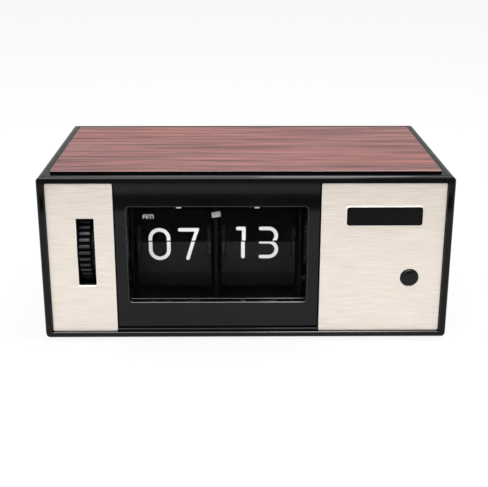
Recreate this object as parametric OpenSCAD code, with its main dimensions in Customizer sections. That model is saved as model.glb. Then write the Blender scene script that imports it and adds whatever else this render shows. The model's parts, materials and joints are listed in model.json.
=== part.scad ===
// Flip clock: a moulded case with a wood-grain top, a metal-trimmed front and a geared leaf movement.
// +Z is up, the front faces -Y, and the origin is on the table under the middle of the case.
// Depths are measured backwards from the front rim.

/* [Case] */
// Width of the case
case_w = 191.6; // [180:0.1:220]
// Depth of the case from the front rim to the rear rim
case_d = 110.6; // [104:0.1:140]
// Height of the case without its feet and top panel
case_h = 79.9; // [72:0.1:95]
// Wall of the case at the top and the sides, which shows as the rim round the front
wall = 3.4; // [2:0.1:4]
// Floor of the case, which shows as the rim below the front
floor_t = 2.7; // [2:0.1:4]
// Radius of the four long edges of the case
corner_r = 3.2; // [1.6:0.1:4]
// Radius of the edges round the front and the rear
edge_r = 1.5; // [0.8:0.1:2]
// How far the seat for the front frame stands in from the wall
ledge_w = 2; // [1.2:0.1:3]
// Thickness of that seat
ledge_t = 2; // [1.5:0.1:3]
// Side of the corner tabs that the front screws go through
tab_side = 9; // [8:0.5:12]
// Height of the bosses on the floor under the movement
boss_h = 2.6; // [2:0.1:6]
// Radius of the screw bosses
boss_r = 3.6; // [3:0.1:4.5]

/* [Feet] */
// Height of a rubber foot
foot_h = 1.2; // [0.8:0.1:4]
// Radius of a rubber foot
foot_r = 6; // [4:0.5:9]
// Distance of a foot's centre from the sides of the case
foot_inset = 16; // [12:1:30]

/* [Top panel] */
// Thickness of the wood-grain panel
top_t = 1.2; // [0.8:0.1:3]
// Bare strip of case beside the panel
top_side = 5.9; // [3:0.1:10]
// Bare strip of case in front of the panel
top_front = 5; // [3:0.1:14]
// Bare strip of case behind the panel
top_rear = 9.6; // [3:0.1:14]
// Corner radius of the panel
top_r = 1; // [0.5:0.1:3]

/* [Front] */
// How far the trim lies behind the rim
recess = 1.5; // [1.2:0.1:2.5]
// Thickness of the metal trim plates and of the bezel's flange
trim_t = 0.8; // [0.5:0.1:1.5]
// Corner radius of the trim plates
trim_r = 0.6; // [0.3:0.1:1.2]
// Thickness of the front frame behind the trim
frame_t = 2.5; // [2:0.1:4]
// Gap between the front pieces and round them
trim_gap = 0.2; // [0.15:0.05:0.4]
// Width of the left trim plate
left_trim_w = 30.9; // [28:0.1:36]
// Width of the window
window_w = 83.8; // [80:0.1:86]
// Width of the bezel beside the window
bezel_side = 5.6; // [3:0.1:8]
// Height of the window
window_h = 47.4; // [40:0.1:50]
// Height of the window's centre above the middle of the case
window_rise = 1.65; // [0:0.05:3]
// Corner radius of the window
window_r = 1.6; // [1:0.1:3]
// Wall of the tunnel behind the window
tunnel_wall = 1.8; // [1.5:0.1:2.4]
// Depth of the tunnel in front of the lens
tunnel_d = 4.1; // [4.1:0.1:5]
// Thickness of the lens
lens_t = 1.2; // [0.8:0.1:2]
// How far the lens reaches under the tunnel's rim
lens_lap = 0.9; // [0.5:0.1:1.2]
// Width of the name plate
badge_w = 35.6; // [25:0.1:42]
// Height of the name plate
badge_h = 9.4; // [6:0.1:12]
// Thickness of the name plate
badge_t = 0.9; // [0.5:0.1:1.2]
// Distance of the name plate's centre from the right side of the case
badge_side = 31.85; // [26:0.05:36]
// Height of the name plate's centre above the middle of the case
badge_rise = 20.55; // [15:0.05:23]
// Corner radius of the name plate
badge_r = 1; // [0.5:0.1:2]

/* [Button and board] */
// Distance of the button from the right side of the case
button_side = 18.75; // [17.5:0.05:24]
// Height of the button above the middle of the case
button_rise = -9.95; // [-12:0.05:-4]
// Radius of the button's cap
button_r = 4.15; // [3:0.05:6]
// How far the button's dome stands out of the trim
button_out = 0.8; // [0.4:0.1:1.1]
// Travel of the button
button_travel = 1.2; // [0.6:0.1:1.6]
// Gap round the button and the wheel where they pass through the front
pass_gap = 0.25; // [0.2:0.05:0.5]
// Thickness of the circuit board
board_t = 1.6; // [1:0.1:2]
// Width of the circuit board
board_w = 28; // [24:1:30]
// Height of the circuit board
board_h = 30; // [26:1:34]
// Height of the switch's body in front of the board
switch_h = 3.6; // [3:0.1:5]
// Side of the switch's body
switch_side = 6; // [5:0.1:8]
// Radius of the board's posts
post_r = 2.6; // [2.2:0.1:3.2]

/* [Leaves] */
// Middle of the gap between the hour leaves and the minute leaves, from the middle of the bezel
display_shift = -0.95; // [-2:0.05:0]
// Height of the split line above the middle of the case
split_rise = 0.75; // [0:0.05:1.5]
// Width of a leaf
leaf_w = 36.2; // [34:0.1:36.6]
// Height of a leaf
leaf_h = 16.8; // [15:0.1:17.5]
// Thickness of a leaf
leaf_t = 0.2; // [0.15:0.01:0.22]
// Gap between the hour leaves and the minute leaves
leaf_gap = 5.1; // [4.8:0.1:6]
// Width of the notch in a leaf's side
notch_w = 2.2; // [2.1:0.1:2.6]
// Length of the notch in a leaf's side
notch_l = 8.3; // [7.5:0.1:9]
// Leaves of the minute drum
minute_leaves = 60; // [48:1:60]
// Leaves of the hour drum
hour_leaves = 24; // [12:1:24]
// Lean of the standing leaves, in degrees
lean = 2; // [1:0.5:3]
// Room between the tip of a falling leaf and the lens
swing_gap = 0.9; // [0.5:0.1:2]

/* [Drums] */
// Radius of the circle on which the leaves hang
drum_r = 11.9; // [11.9:0.1:12.4]
// Thickness of a drum disc
disc_t = 1.5; // [1.4:0.1:1.7]
// Radius of a drum's core
core_r = 5; // [4:0.5:8]
// Radius of the drum shaft
shaft_r = 1.5; // [1.2:0.1:1.8]
// Radius of the hour drum's sleeve
sleeve_r = 3; // [2.6:0.1:3.4]

/* [Movement] */
// Thickness of the movement plates
plate_t = 2; // [1.5:0.1:2.2]
// Room between a leaf's side and the movement plate beside it
plate_gap = 1.2; // [0.8:0.1:1.4]
// Thickness of the movement base
base_t = 2; // [1.5:0.1:3]
// Thickness of the setting bridge and the motor bracket
bridge_t = 1.5; // [1.2:0.1:2]
// Radius of the tie rods
tie_r = 1.4; // [1:0.1:1.8]
// Radius of the pillars
pillar_r = 2.5; // [2:0.1:3]
// Radius of the gear arbors
arbor_r = 1; // [0.8:0.1:1.2]
// Wall of a bearing bush
bush_wall = 1.05; // [0.8:0.05:1.4]
// Radius of the motor
motor_r = 15; // [12:0.5:15]
// Length of the motor
motor_l = 16; // [12:1:22]
// Width of a retaining finger
finger_w = 2.3; // [2:0.1:4]
// Thickness of the finger rail and the centre tab
rail_t = 0.8; // [0.6:0.1:1]
// Radial clearance of a running shaft
run_fit = 0.05; // [0.03:0.01:0.08]
// Radial clearance of a piece that is fixed on its seat
seat_fit = 0.02; // [0.01:0.01:0.04]

/* [Gears] */
// Module of the drive gears and the setting gears
gear_m = 0.5; // [0.48:0.01:0.51]
// Module of the hour gear and its pinion
hour_m = 0.45; // [0.43:0.01:0.46]
// Face width of a gear
gear_t = 2; // [1.6:0.1:2.2]

/* [Thumbwheel] */
// Radius of the thumbwheel over its ribs
wheel_r = 18; // [17:0.1:18.2]
// Width of the thumbwheel
wheel_w = 5.6; // [5:0.1:6]
// Ribs round the thumbwheel
wheel_ribs = 36; // [24:1:48]
// Depth of the grooves between the ribs
rib_h = 0.9; // [0.5:0.1:1.4]
// Height of the thumbwheel's axis above the drum shaft
wheel_rise = 1.6; // [0:0.1:3]
// Radius of the thumbwheel's stud
stud_r = 2; // [1.5:0.1:2.5]
// Width of the slot for the thumbwheel
slot_w = 8.3; // [7.8:0.1:9]
// Height of the slot
slot_h = 32.9; // [28:0.1:34]
// Height of the slot's centre above the split line
slot_rise = 2.2; // [1:0.1:4]

/* [Rear] */
// How far the rear cover lies behind the rear rim
rear_recess = 1.8; // [1.6:0.1:3]
// Thickness of the rear cover
rear_t = 3; // [2.6:0.1:4]
// Thickness of the battery door
door_t = 2.4; // [2:0.1:2.5]
// Gap round the battery door
door_gap = 0.3; // [0.2:0.05:0.5]
// Radius of the battery door's hinge pins
door_pin_r = 0.8; // [0.6:0.05:0.9]
// Radius of a battery cell
cell_r = 7.25; // [5:0.05:8]
// Length of a battery cell
cell_l = 50.5; // [44:0.1:52]
// Room for a contact at each end of a cell
contact_room = 2.6; // [2:0.1:4]
// Wall of the battery tray
tray_wall = 1.6; // [1.2:0.1:2]
// Room round a cell in the tray
tray_gap = 0.5; // [0.3:0.1:1]
// Room between the tray and the floor of the case
tray_lift = 0.3; // [0.2:0.1:2]

/* [Screws] */
// Radius of a screw's shank
screw_r = 1.1; // [0.9:0.05:1.3]
// Radius of a screw's head
screw_head_r = 2.4; // [2:0.1:2.8]
// Height of a screw's head
screw_head_h = 1.4; // [1:0.1:1.5]

/* [Hidden] */
$fn = 48;

// Case and front
case_z = [foot_h, foot_h + case_h];
mid_z = foot_h + case_h / 2;
in_x = case_w / 2 - wall;
in_z = [case_z[0] + floor_t, case_z[1] - wall];
front_x = in_x - trim_gap;
front_z = [in_z[0] + trim_gap, in_z[1] - trim_gap];
frame_d = [recess + trim_t, recess + trim_t + frame_t];
bezel_left = -front_x + left_trim_w + 2 * trim_gap;
bezel_span = [bezel_left, bezel_left + window_w + 2 * bezel_side];
bezel_x = (bezel_span[0] + bezel_span[1]) / 2;
window_z = mid_z + window_rise;
window_x_span = [bezel_x - window_w / 2, bezel_x + window_w / 2];
window_z_span = [window_z - window_h / 2, window_z + window_h / 2];
lens_d = [recess + tunnel_d, recess + tunnel_d + lens_t];
tab_mid = tab_side / 2;
hole_room = 0.15;
badge_x = case_w / 2 - badge_side;
badge_z = mid_z + badge_rise;

// Leaves and drums. The first leaf of a pack stands just above the split and the last hangs just below it.
display_x = bezel_x + display_shift;
split_z = mid_z + split_rise;
split_step = 0.4;
stack_pitch = 0.42;
front_gap = 0.45;
leaf_pin_r = 0.2;
leaf_pin_inset = 0.35;
disc_inset = 0.2;
track_d = 0.9;
track_room = 0.15;
disc_edge = 0.5;
hinge_d = lens_d[1] + swing_gap + leaf_h;
axis_d = hinge_d + front_gap + drum_r;
track_r = [drum_r - track_d, drum_r + front_gap + leaf_pin_r + track_room];
disc_r = track_r[1] + disc_edge;
hour_x = display_x - (leaf_gap + leaf_w) / 2;
minute_x = display_x + (leaf_gap + leaf_w) / 2;
disc_out = leaf_w / 2 - disc_inset;
disc_in = disc_out - disc_t;
leaf_neck = leaf_w / 2 - notch_w;

// Movement
left_plate_x = [hour_x - leaf_w / 2 - plate_gap - plate_t, hour_x - leaf_w / 2 - plate_gap];
centre_plate_x = [display_x - plate_t / 2, display_x + plate_t / 2];
right_plate_x = [minute_x + leaf_w / 2 + plate_gap, minute_x + leaf_w / 2 + plate_gap + plate_t];
base_z = [in_z[0] + boss_h, in_z[0] + boss_h + base_t];
fan_reach = drum_r + leaf_h - leaf_pin_inset;
plate_front = 3;
plate_rear = 2.85;
plate_head = 0.65;
plate_d = [hinge_d - plate_front, axis_d + fan_reach + plate_rear];
plate_z = [base_z[1], split_z + fan_reach + plate_head];
plate_r = 2;
plate_edge = 0.9;
base_margin = 3;
tongue_l = 10;
tongue_inset = 8;
tongue_spots = [plate_d[0] + tongue_inset, plate_d[1] - tongue_inset - tongue_l];
bush_r = shaft_r + run_fit + bush_wall;
bush_end = 0.4;
tie_inset = 4;
tie_spots = [
    [plate_d[0] + tie_inset, plate_z[1] - tie_inset],
    [plate_d[1] - tie_inset, plate_z[1] - tie_inset],
    [plate_d[1] - tie_inset, plate_z[0] + tie_inset]
];
tie_head_r = tie_r + 0.9;
tie_head_h = 1;
base_hole_x = 12;
base_hole_d = 6;
base_spots_x = [left_plate_x[1] + base_hole_x, right_plate_x[0] - base_hole_x];
base_spots_d = [plate_d[0] + base_hole_d, plate_d[1] - base_hole_d];
floor_pilot = 1.2;

// Gear trains. Angles are measured from straight back, upwards.
thumb_teeth = 56;
setting_teeth = 18;
carry_teeth = [12, 48];
hour_teeth = [12, 72];
drive_teeth = [15, 60];
motor_teeth = [15, 45];
gear_space = 0.4;
hour_gear_room = 2.3;
carry_room = 3.9;
bridge_room = 1.3;
bush_room = 0.3;
drive_room = 1.2;
reduction_room = 1;
bracket_room = 2.2;
slot_room = 0.5;
hub_wall = 3;
tyre_t = 4;
shaft_over = 0.8;
carry_dist = (hour_teeth[0] + hour_teeth[1]) * hour_m / 2;
carry_m = 2 * carry_dist / (carry_teeth[0] + carry_teeth[1]);
carry_d = axis_d + carry_dist;
hour_gear_x = [left_plate_x[0] - hour_gear_room - gear_t, left_plate_x[0] - hour_gear_room];
sleeve_end = hour_gear_x[0] - gear_space;
carry_wheel_x = [hour_gear_x[0] - carry_room - gear_t, hour_gear_x[0] - carry_room];
bridge_x = [carry_wheel_x[0] - bridge_room - bridge_t, carry_wheel_x[0] - bridge_room];
setting_x = [bridge_x[0] - bush_end - bush_room - gear_t, bridge_x[0] - bush_end - bush_room];
wheel_x = [setting_x[0] - gear_space - wheel_w, setting_x[0] - gear_space];
thumb_gear_x = [wheel_x[1], setting_x[1]];
setting_dist = (thumb_teeth + setting_teeth) * gear_m / 2;
wheel_d = axis_d - sqrt(setting_dist * setting_dist - wheel_rise * wheel_rise);
wheel_z = split_z + wheel_rise;
wheel_angle = 180 - asin(wheel_rise / setting_dist);
slot_x = wheel_x[0] - pass_gap - slot_room + slot_w / 2;
slot_z = split_z + slot_rise;
drive_x = [right_plate_x[1] + drive_room, right_plate_x[1] + drive_room + gear_t];
reduction_x = [drive_x[1] + reduction_room, drive_x[1] + reduction_room + gear_t];
bracket_x = [reduction_x[1] + bracket_room, reduction_x[1] + bracket_room + bridge_t];
drive_angle = -45;
drive_dist = (drive_teeth[0] + drive_teeth[1]) * gear_m / 2;
reduction_d = axis_d + drive_dist * cos(drive_angle);
reduction_z = split_z + drive_dist * sin(drive_angle);
motor_d = reduction_d + (motor_teeth[0] + motor_teeth[1]) * gear_m / 2;
motor_z = reduction_z;
shaft_x = [setting_x[0], drive_x[1] + shaft_over];
pillar_inset = 5;
pillar_rise = 20.4;
pillar_spots = [
    [plate_d[0] + pillar_inset, split_z + pillar_rise],
    [plate_d[0] + pillar_inset, split_z - pillar_rise],
    [plate_d[1] - pillar_inset, split_z + pillar_rise]
];
spigot_r = 1.3;
spigot_l = 1.2;
pillar_edge = 4;
bridge_front = 6;
bridge_r = 3;
bracket_margin = 1;
bridge_d = [wheel_d - bridge_front, plate_d[1] - pillar_inset + pillar_edge];
bridge_z = [split_z - pillar_rise - pillar_edge, split_z + pillar_rise + pillar_edge];
bracket_d = [plate_d[0] + pillar_inset - pillar_edge, motor_d + motor_r + bracket_margin];
bracket_z = [motor_z - motor_r - bracket_margin, bridge_z[1]];
motor_nose_r = 4;
motor_nose = 1.4;
shaft_depth = 4;
shaft_end = 0.5;
arbor_end = 0.3;
clip_t = 0.8;
clip_lap = 1.2;

// Finger rail
rail_d = [plate_d[0] - rail_t, plate_d[0]];
rail_rise = 3.2;
rail_head = 1;
rail_z = [split_z + leaf_h + rail_rise, plate_z[1] - rail_head];
finger_t = 0.4;
finger_room = 0.8;
finger_head = 2;
finger_z = [split_z + leaf_h + finger_room, rail_z[1] - finger_head];
hour_finger_shift = 2.7;
minute_finger_shift = -0.85;

// Centre tab
tab_gap = 0.4;
tab_w = leaf_gap - 2 * tab_gap;
tab_h = 2.5;
tab_drop = 1.2;
tab_z = split_z + leaf_h - tab_drop;
tab_tilt = 32;
tab_roll = 9;
peg_r = 0.5;
peg_l = 2.5;
peg_drop = 0.8;

// Button and board
button_x = case_w / 2 - button_side;
button_z = mid_z + button_rise;
flange_gap = 0.2;
flange_t = 1;
button_flange = [frame_d[1] + flange_gap, frame_d[1] + flange_gap + flange_t];
button_flange_r = button_r + 1.2;
plunger_r = 1.5;
plunger_gap = 0.1;
plunger_out = 0.8;
plunger_in = 1;
switch_room = 1.6;
switch_d = [button_flange[1] + button_travel + switch_room,
            button_flange[1] + button_travel + switch_room + switch_h];
switch_floor = 0.5;
board_d = [switch_d[1], switch_d[1] + board_t];
board_x = [button_x - board_w / 2, button_x + board_w / 2];
board_z = [button_z - board_h / 2, button_z + board_h / 2];
board_inset = 3.2;
board_spots_x = [board_x[0] + board_inset, board_x[1] - board_inset];
board_spots_z = [board_z[0] + board_inset, board_z[1] - board_inset];
pilot_l = 6;
pilot_end = 1;
front_pilot = 0.5;
front_spots_x = in_x - tab_mid;
front_spots_z = [in_z[0] + tab_mid, in_z[1] - tab_mid];

// Rear
rear_d = [case_d - rear_recess - rear_t, case_d - rear_recess];
cell_count = 2;
cell_room = 0.9;
cell_pitch = 2 * cell_r + tray_gap;
cell_d = rear_d[0] - cell_room - cell_r;
tray_in_x = cell_l / 2 + contact_room;
tray_out_x = tray_in_x + tray_wall;
tray_z = [in_z[0] + tray_lift, in_z[0] + tray_lift + 2 * tray_wall + tray_gap + cell_count * cell_pitch];
cell_z = tray_z[0] + tray_wall + tray_gap + cell_r;
tray_d = [cell_d - cell_r - tray_gap - tray_wall, rear_d[0]];
opening_lap = 0.4;
opening_x = tray_in_x + opening_lap;
opening_z = [tray_z[0] + tray_wall - opening_lap, tray_z[1] - tray_wall + opening_lap];
door_x = opening_x - door_gap;
door_hinge_d = (rear_d[0] + rear_d[1]) / 2;
door_z = [opening_z[0] + door_gap, opening_z[1] - door_gap];
door_hinge_z = door_z[1] - door_t / 2;
door_pin_l = 3;
grip_t = 0.8;
grip_w = 18;
grip_pitch = 2;
nub_r = 2.7;
nub_l = 1.2;
contact_t = 0.4;
contact_side = 9;
contact_gap = 0.15;
rear_boss_l = 12;
rear_screw_l = 9;
boss_floor = 1.5;
boss_sink = 0.4;
boss_inset = boss_r - boss_sink;
rear_spots_x = in_x - boss_inset;
rear_spots_z = [in_z[0] + boss_inset, in_z[1] - boss_inset];

// Depth behind the front rim, as a Y coordinate
function fy(d) = d - case_d / 2;

// Outline of a rectangle with round corners
module round_rect(a, b, r) {
    translate([a[0] + r, b[0]]) square([a[1] - a[0] - 2 * r, b[1] - b[0]]);
    translate([a[0], b[0] + r]) square([a[1] - a[0], b[1] - b[0] - 2 * r]);
    for (u = [a[0] + r, a[1] - r], v = [b[0] + r, b[1] - r]) translate([u, v]) circle(r);
}

// Block between two X, two depths and two heights
module block(x, d, z) {
    translate([x[0], fy(d[0]), z[0]]) cube([x[1] - x[0], d[1] - d[0], z[1] - z[0]]);
}

// Plate that faces the front, with round corners
module front_plate(x, d, z, r) {
    translate([0, fy(d[1]), 0]) rotate([90, 0, 0]) linear_extrude(d[1] - d[0]) round_rect(x, z, r);
}

// Plate that faces the side, with round corners
module side_plate(x, d, z, r) {
    translate([x[0], 0, 0]) rotate([90, 0, 90]) linear_extrude(x[1] - x[0])
        round_rect([fy(d[0]), fy(d[1])], z, r);
}

// Plate that lies flat, with round corners
module flat_plate(x, d, z, r) {
    translate([0, 0, z[0]]) linear_extrude(z[1] - z[0]) round_rect(x, [fy(d[0]), fy(d[1])], r);
}

// Round bars along X, backwards and upwards
module bar_x(r, x, d, z) {
    translate([x[0], fy(d), z]) rotate([0, 90, 0]) cylinder(r = r, h = x[1] - x[0]);
}
module bar_y(r, x, d, z) {
    translate([x, fy(d[0]), z]) rotate([-90, 0, 0]) cylinder(r = r, h = d[1] - d[0]);
}
module bar_z(r, x, d, z) {
    translate([x, fy(d), z[0]]) cylinder(r = r, h = z[1] - z[0]);
}

// Straight-flanked gear about an axis along X, with one tooth at the angle turn
module gear(n, m, x, d, z, turn) {
    half = 0.4 * PI * m / 2;
    tip = 0.8 * m;
    root = 1.2 * m;
    pitch_r = n * m / 2;
    flank = tan(22);
    corners = [[pitch_r - root, -half - root * flank], [pitch_r + tip, -half + tip * flank],
               [pitch_r + tip, half - tip * flank], [pitch_r - root, half + root * flank]];
    translate([x[0], fy(d), z]) rotate([90, 0, 90]) linear_extrude(x[1] - x[0]) polygon([
        for (i = [0 : n - 1]) for (c = corners) let (a = turn + 360 * i / n + c[1] / c[0] * 180 / PI)
            [c[0] * cos(a), c[0] * sin(a)]
    ]);
}

// Screw whose head rests on the plane at depth d, pointing forwards (-1) or backwards (1)
module screw_y(x, d, z, l, way) {
    translate([x, fy(d), z]) rotate([-90 * way, 0, 0]) screw(l);
}

// Screw that points up, with a cross slot in its head
module screw(l) {
    slot_t = 0.7;
    slot_deep = screw_head_h / 2;
    difference() {
        union() {
            cylinder(r = screw_r - seat_fit, h = l);
            translate([0, 0, -screw_head_h]) cylinder(r = screw_head_r, h = screw_head_h);
        }
        for (turn = [0, 90]) rotate(turn)
            translate([-screw_head_r * 0.7, -slot_t / 2, -screw_head_h])
                cube([screw_head_r * 1.4, slot_t, slot_deep]);
    }
}

// Case and its trim
module case_outline() {
    intersection() {
        front_plate([-case_w / 2, case_w / 2], [0, case_d], case_z, corner_r);
        side_plate([-case_w / 2, case_w / 2], [0, case_d], case_z, edge_r);
        flat_plate([-case_w / 2, case_w / 2], [0, case_d], case_z, edge_r);
    }
}

module case_shell() color([0.10, 0.10, 0.11]) difference() {
    union() {
        difference() {
            case_outline();
            block([-in_x, in_x], [-1, case_d + 1], in_z);
        }
        difference() {
            block([-in_x, in_x], [frame_d[1], frame_d[1] + ledge_t], in_z);
            block([-in_x + ledge_w, in_x - ledge_w], [frame_d[1] - 1, frame_d[1] + ledge_t + 1],
                  [in_z[0] + ledge_w, in_z[1] - ledge_w]);
        }
        for (sx = [-1, 1], z = [in_z[0], in_z[1] - tab_side])
            block([sx * (in_x - tab_mid) - tab_mid, sx * (in_x - tab_mid) + tab_mid],
                  [frame_d[1], frame_d[1] + ledge_t], [z, z + tab_side]);
        for (sx = [-1, 1], z = rear_spots_z)
            bar_y(boss_r, sx * rear_spots_x, [rear_d[0] - rear_boss_l, rear_d[0]], z);
        for (x = base_spots_x, d = base_spots_d) bar_z(boss_r, x, d, [in_z[0] - floor_t / 2, base_z[0]]);
    }
    for (sx = [-1, 1], z = front_spots_z)
        bar_y(screw_r + hole_room, sx * front_spots_x, [frame_d[1] - 1, frame_d[1] + ledge_t + 1], z);
    for (sx = [-1, 1], z = rear_spots_z)
        bar_y(screw_r, sx * rear_spots_x, [rear_d[0] - rear_boss_l + boss_floor, rear_d[0] + 1], z);
    for (x = base_spots_x, d = base_spots_d) bar_z(screw_r, x, d, [in_z[0] - floor_pilot, base_z[0] + 1]);
}

module top_panel() color([0.42, 0.20, 0.16])
    flat_plate([-case_w / 2 + top_side, case_w / 2 - top_side], [top_front, case_d - top_rear],
               [case_z[1], case_z[1] + top_t], top_r);

module feet() color([0.07, 0.07, 0.07])
    for (sx = [-1, 1], d = [foot_inset, case_d - foot_inset])
        bar_z(foot_r, sx * (case_w / 2 - foot_inset), d, [0, foot_h]);

module front_frame() color([0.09, 0.09, 0.10]) difference() {
    union() {
        block([-front_x, front_x], frame_d, front_z);
        for (x = board_spots_x, z = board_spots_z) bar_y(post_r, x, [frame_d[0] + 1, board_d[0]], z);
    }
    window_plate([0, frame_d[1] + 1], tunnel_wall + trim_gap);
    block([wheel_x[0] - 2 * pass_gap, thumb_gear_x[1] + 2 * pass_gap], [0, frame_d[1] + 1],
          [slot_z - slot_h / 2, slot_z + slot_h / 2]);
    bar_y(button_r + pass_gap, button_x, [0, frame_d[1] + 1], button_z);
    for (sx = [-1, 1], z = front_spots_z)
        bar_y(screw_r, sx * front_spots_x, [frame_d[0] + front_pilot, frame_d[1] + 1], z);
    for (x = board_spots_x, z = board_spots_z) bar_y(screw_r, x, [board_d[0] - pilot_l, board_d[0] + 1], z);
}

module left_trim() color([0.85, 0.80, 0.73]) difference() {
    front_plate([-front_x, bezel_span[0] - 2 * trim_gap], [recess, frame_d[0]], front_z, trim_r);
    block([slot_x - slot_w / 2, slot_x + slot_w / 2], [0, frame_d[1]],
          [slot_z - slot_h / 2, slot_z + slot_h / 2]);
}

module right_trim() color([0.85, 0.80, 0.73]) difference() {
    front_plate([bezel_span[1] + 2 * trim_gap, front_x], [recess, frame_d[0]], front_z, trim_r);
    bar_y(button_r + pass_gap, button_x, [0, frame_d[1]], button_z);
}

// Plate of the window's outline, larger by a margin on every side
module window_plate(d, margin) {
    front_plate([window_x_span[0] - margin, window_x_span[1] + margin], d,
                [window_z_span[0] - margin, window_z_span[1] + margin], window_r);
}

module window_bezel() color([0.06, 0.06, 0.07]) difference() {
    union() {
        front_plate(bezel_span, [recess, frame_d[0]], front_z, trim_r);
        window_plate([recess, lens_d[1]], tunnel_wall);
    }
    window_plate([0, lens_d[1] + 1], 0);
    window_plate([lens_d[0], lens_d[1] + 1], lens_lap + trim_gap / 2);
}

module window_lens() color([0.80, 0.85, 0.88, 0.3]) window_plate(lens_d, lens_lap);

module badge_plate() color([0.05, 0.05, 0.05])
    front_plate([badge_x - badge_w / 2, badge_x + badge_w / 2], [recess - badge_t, recess],
                [badge_z - badge_h / 2, badge_z + badge_h / 2], badge_r);

// Button, switch and board
module button_cap() color([0.04, 0.04, 0.04]) {
    dome_r = (button_r * button_r + button_out * button_out) / (2 * button_out);
    intersection() {
        bar_y(button_r, button_x, [-button_r, button_flange[1]], button_z);
        translate([button_x, fy(recess - button_out + dome_r), button_z]) sphere(r = dome_r, $fn = 96);
    }
    bar_y(button_flange_r, button_x, button_flange, button_z);
    bar_y(plunger_r, button_x, [button_flange[1], switch_d[0] - plunger_out], button_z);
}

module switch_plunger() color([0.2, 0.2, 0.2])
    bar_y(plunger_r, button_x, [switch_d[0] - plunger_out + plunger_gap, switch_d[0] + plunger_in],
          button_z);

module button_switch() color([0.15, 0.15, 0.16]) difference() {
    block([button_x - switch_side / 2, button_x + switch_side / 2], switch_d,
          [button_z - switch_side / 2, button_z + switch_side / 2]);
    bar_y(plunger_r + run_fit, button_x, [switch_d[0] - 1, switch_d[1] - switch_floor], button_z);
}

module circuit_board() color([0.12, 0.35, 0.18]) difference() {
    block(board_x, board_d, board_z);
    for (x = board_spots_x, z = board_spots_z)
        bar_y(screw_r + hole_room, x, [board_d[0] - 1, board_d[1] + 1], z);
}

module board_screws() color([0.6, 0.6, 0.62])
    for (x = board_spots_x, z = board_spots_z) screw_y(x, board_d[1], z, board_t + pilot_l - pilot_end, -1);

module front_screws() color([0.6, 0.6, 0.62])
    for (sx = [-1, 1], z = front_spots_z)
        screw_y(sx * front_spots_x, frame_d[1] + ledge_t, z, ledge_t + frame_t - 2 * front_pilot, -1);

// Rear cover and battery
module rear_cover() color([0.10, 0.10, 0.11]) difference() {
    block([-front_x, front_x], rear_d, front_z);
    block([-opening_x, opening_x], [rear_d[0] - 1, rear_d[1] + 1], opening_z);
    bar_x(door_pin_r + run_fit, [-opening_x - door_pin_l, opening_x + door_pin_l], door_hinge_d,
          door_hinge_z);
    for (sx = [-1, 1], z = rear_spots_z)
        bar_y(screw_r + hole_room, sx * rear_spots_x, [rear_d[0] - 1, rear_d[1] + 1], z);
}

module rear_screws() color([0.6, 0.6, 0.62])
    for (sx = [-1, 1], z = rear_spots_z) screw_y(sx * rear_spots_x, rear_d[1], z, rear_screw_l, -1);

module battery_door() color([0.10, 0.10, 0.11]) {
    half_t = door_t / 2;
    grip_d = [door_hinge_d + half_t, door_hinge_d + half_t + grip_t];
    block([-door_x, door_x], [door_hinge_d - half_t, door_hinge_d + half_t], [door_z[0], door_hinge_z]);
    bar_x(half_t, [-door_x, door_x], door_hinge_d, door_hinge_z);
    bar_x(door_pin_r, [-door_x - door_pin_l, door_x + door_pin_l], door_hinge_d, door_hinge_z);
    for (i = [1 : 3])
        block([-grip_w / 2, grip_w / 2], grip_d,
              [door_z[0] + grip_pitch * (i + 0.5), door_z[0] + grip_pitch * (i + 1)]);
}

module battery_tray() color([0.12, 0.12, 0.13]) difference() {
    block([-tray_out_x, tray_out_x], tray_d, tray_z);
    block([-tray_in_x, tray_in_x], [tray_d[0] + tray_wall, tray_d[1] + 1],
          [tray_z[0] + tray_wall, tray_z[1] - tray_wall]);
}

// The cells lie one above the other, each the other way round
module battery_cells() color([0.35, 0.36, 0.38])
    for (k = [0 : cell_count - 1])
        translate([0, fy(cell_d), cell_z + k * cell_pitch]) rotate([0, k % 2 == 0 ? 90 : -90, 0])
            translate([0, 0, -cell_l / 2]) {
                cylinder(r = cell_r, h = cell_l - nub_l);
                cylinder(r = nub_r, h = cell_l);
            }

// Each contact is a strip bent to a low roof, with its feet on the end wall and its crown near the cell
module battery_contacts() color([0.75, 0.75, 0.77]) {
    reach = contact_room - contact_gap;
    half = contact_side / 2;
    for (sx = [-1, 1], k = [0 : cell_count - 1])
        translate([sx * tray_in_x, fy(cell_d), cell_z + k * cell_pitch]) rotate([90, 0, sx > 0 ? 180 : 0])
            translate([0, 0, -half]) linear_extrude(contact_side) polygon([
                [0, -half], [contact_t, -half], [reach, 0], [contact_t, half], [0, half],
                [reach - 1.5 * contact_t, 0]
            ]);
}

// Movement frame
module tie_holes(x) { for (s = tie_spots) bar_x(tie_r + seat_fit, [x[0] - 1, x[1] + 1], s[0], s[1]); }
module pillar_holes(x) {
    for (s = pillar_spots) bar_x(spigot_r + seat_fit, [x[0] - 1, x[1] + 1], s[0], s[1]);
}

// Upright plate with rounded edges and two tongues that stand in the base
module movement_plate(x) {
    intersection() {
        side_plate(x, plate_d, plate_z, plate_r);
        flat_plate(x, plate_d, plate_z, min(plate_edge, 0.45 * plate_t));
    }
    for (d = tongue_spots) block(x, [d, d + tongue_l], [base_z[0], plate_z[0] + 1]);
}

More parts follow.
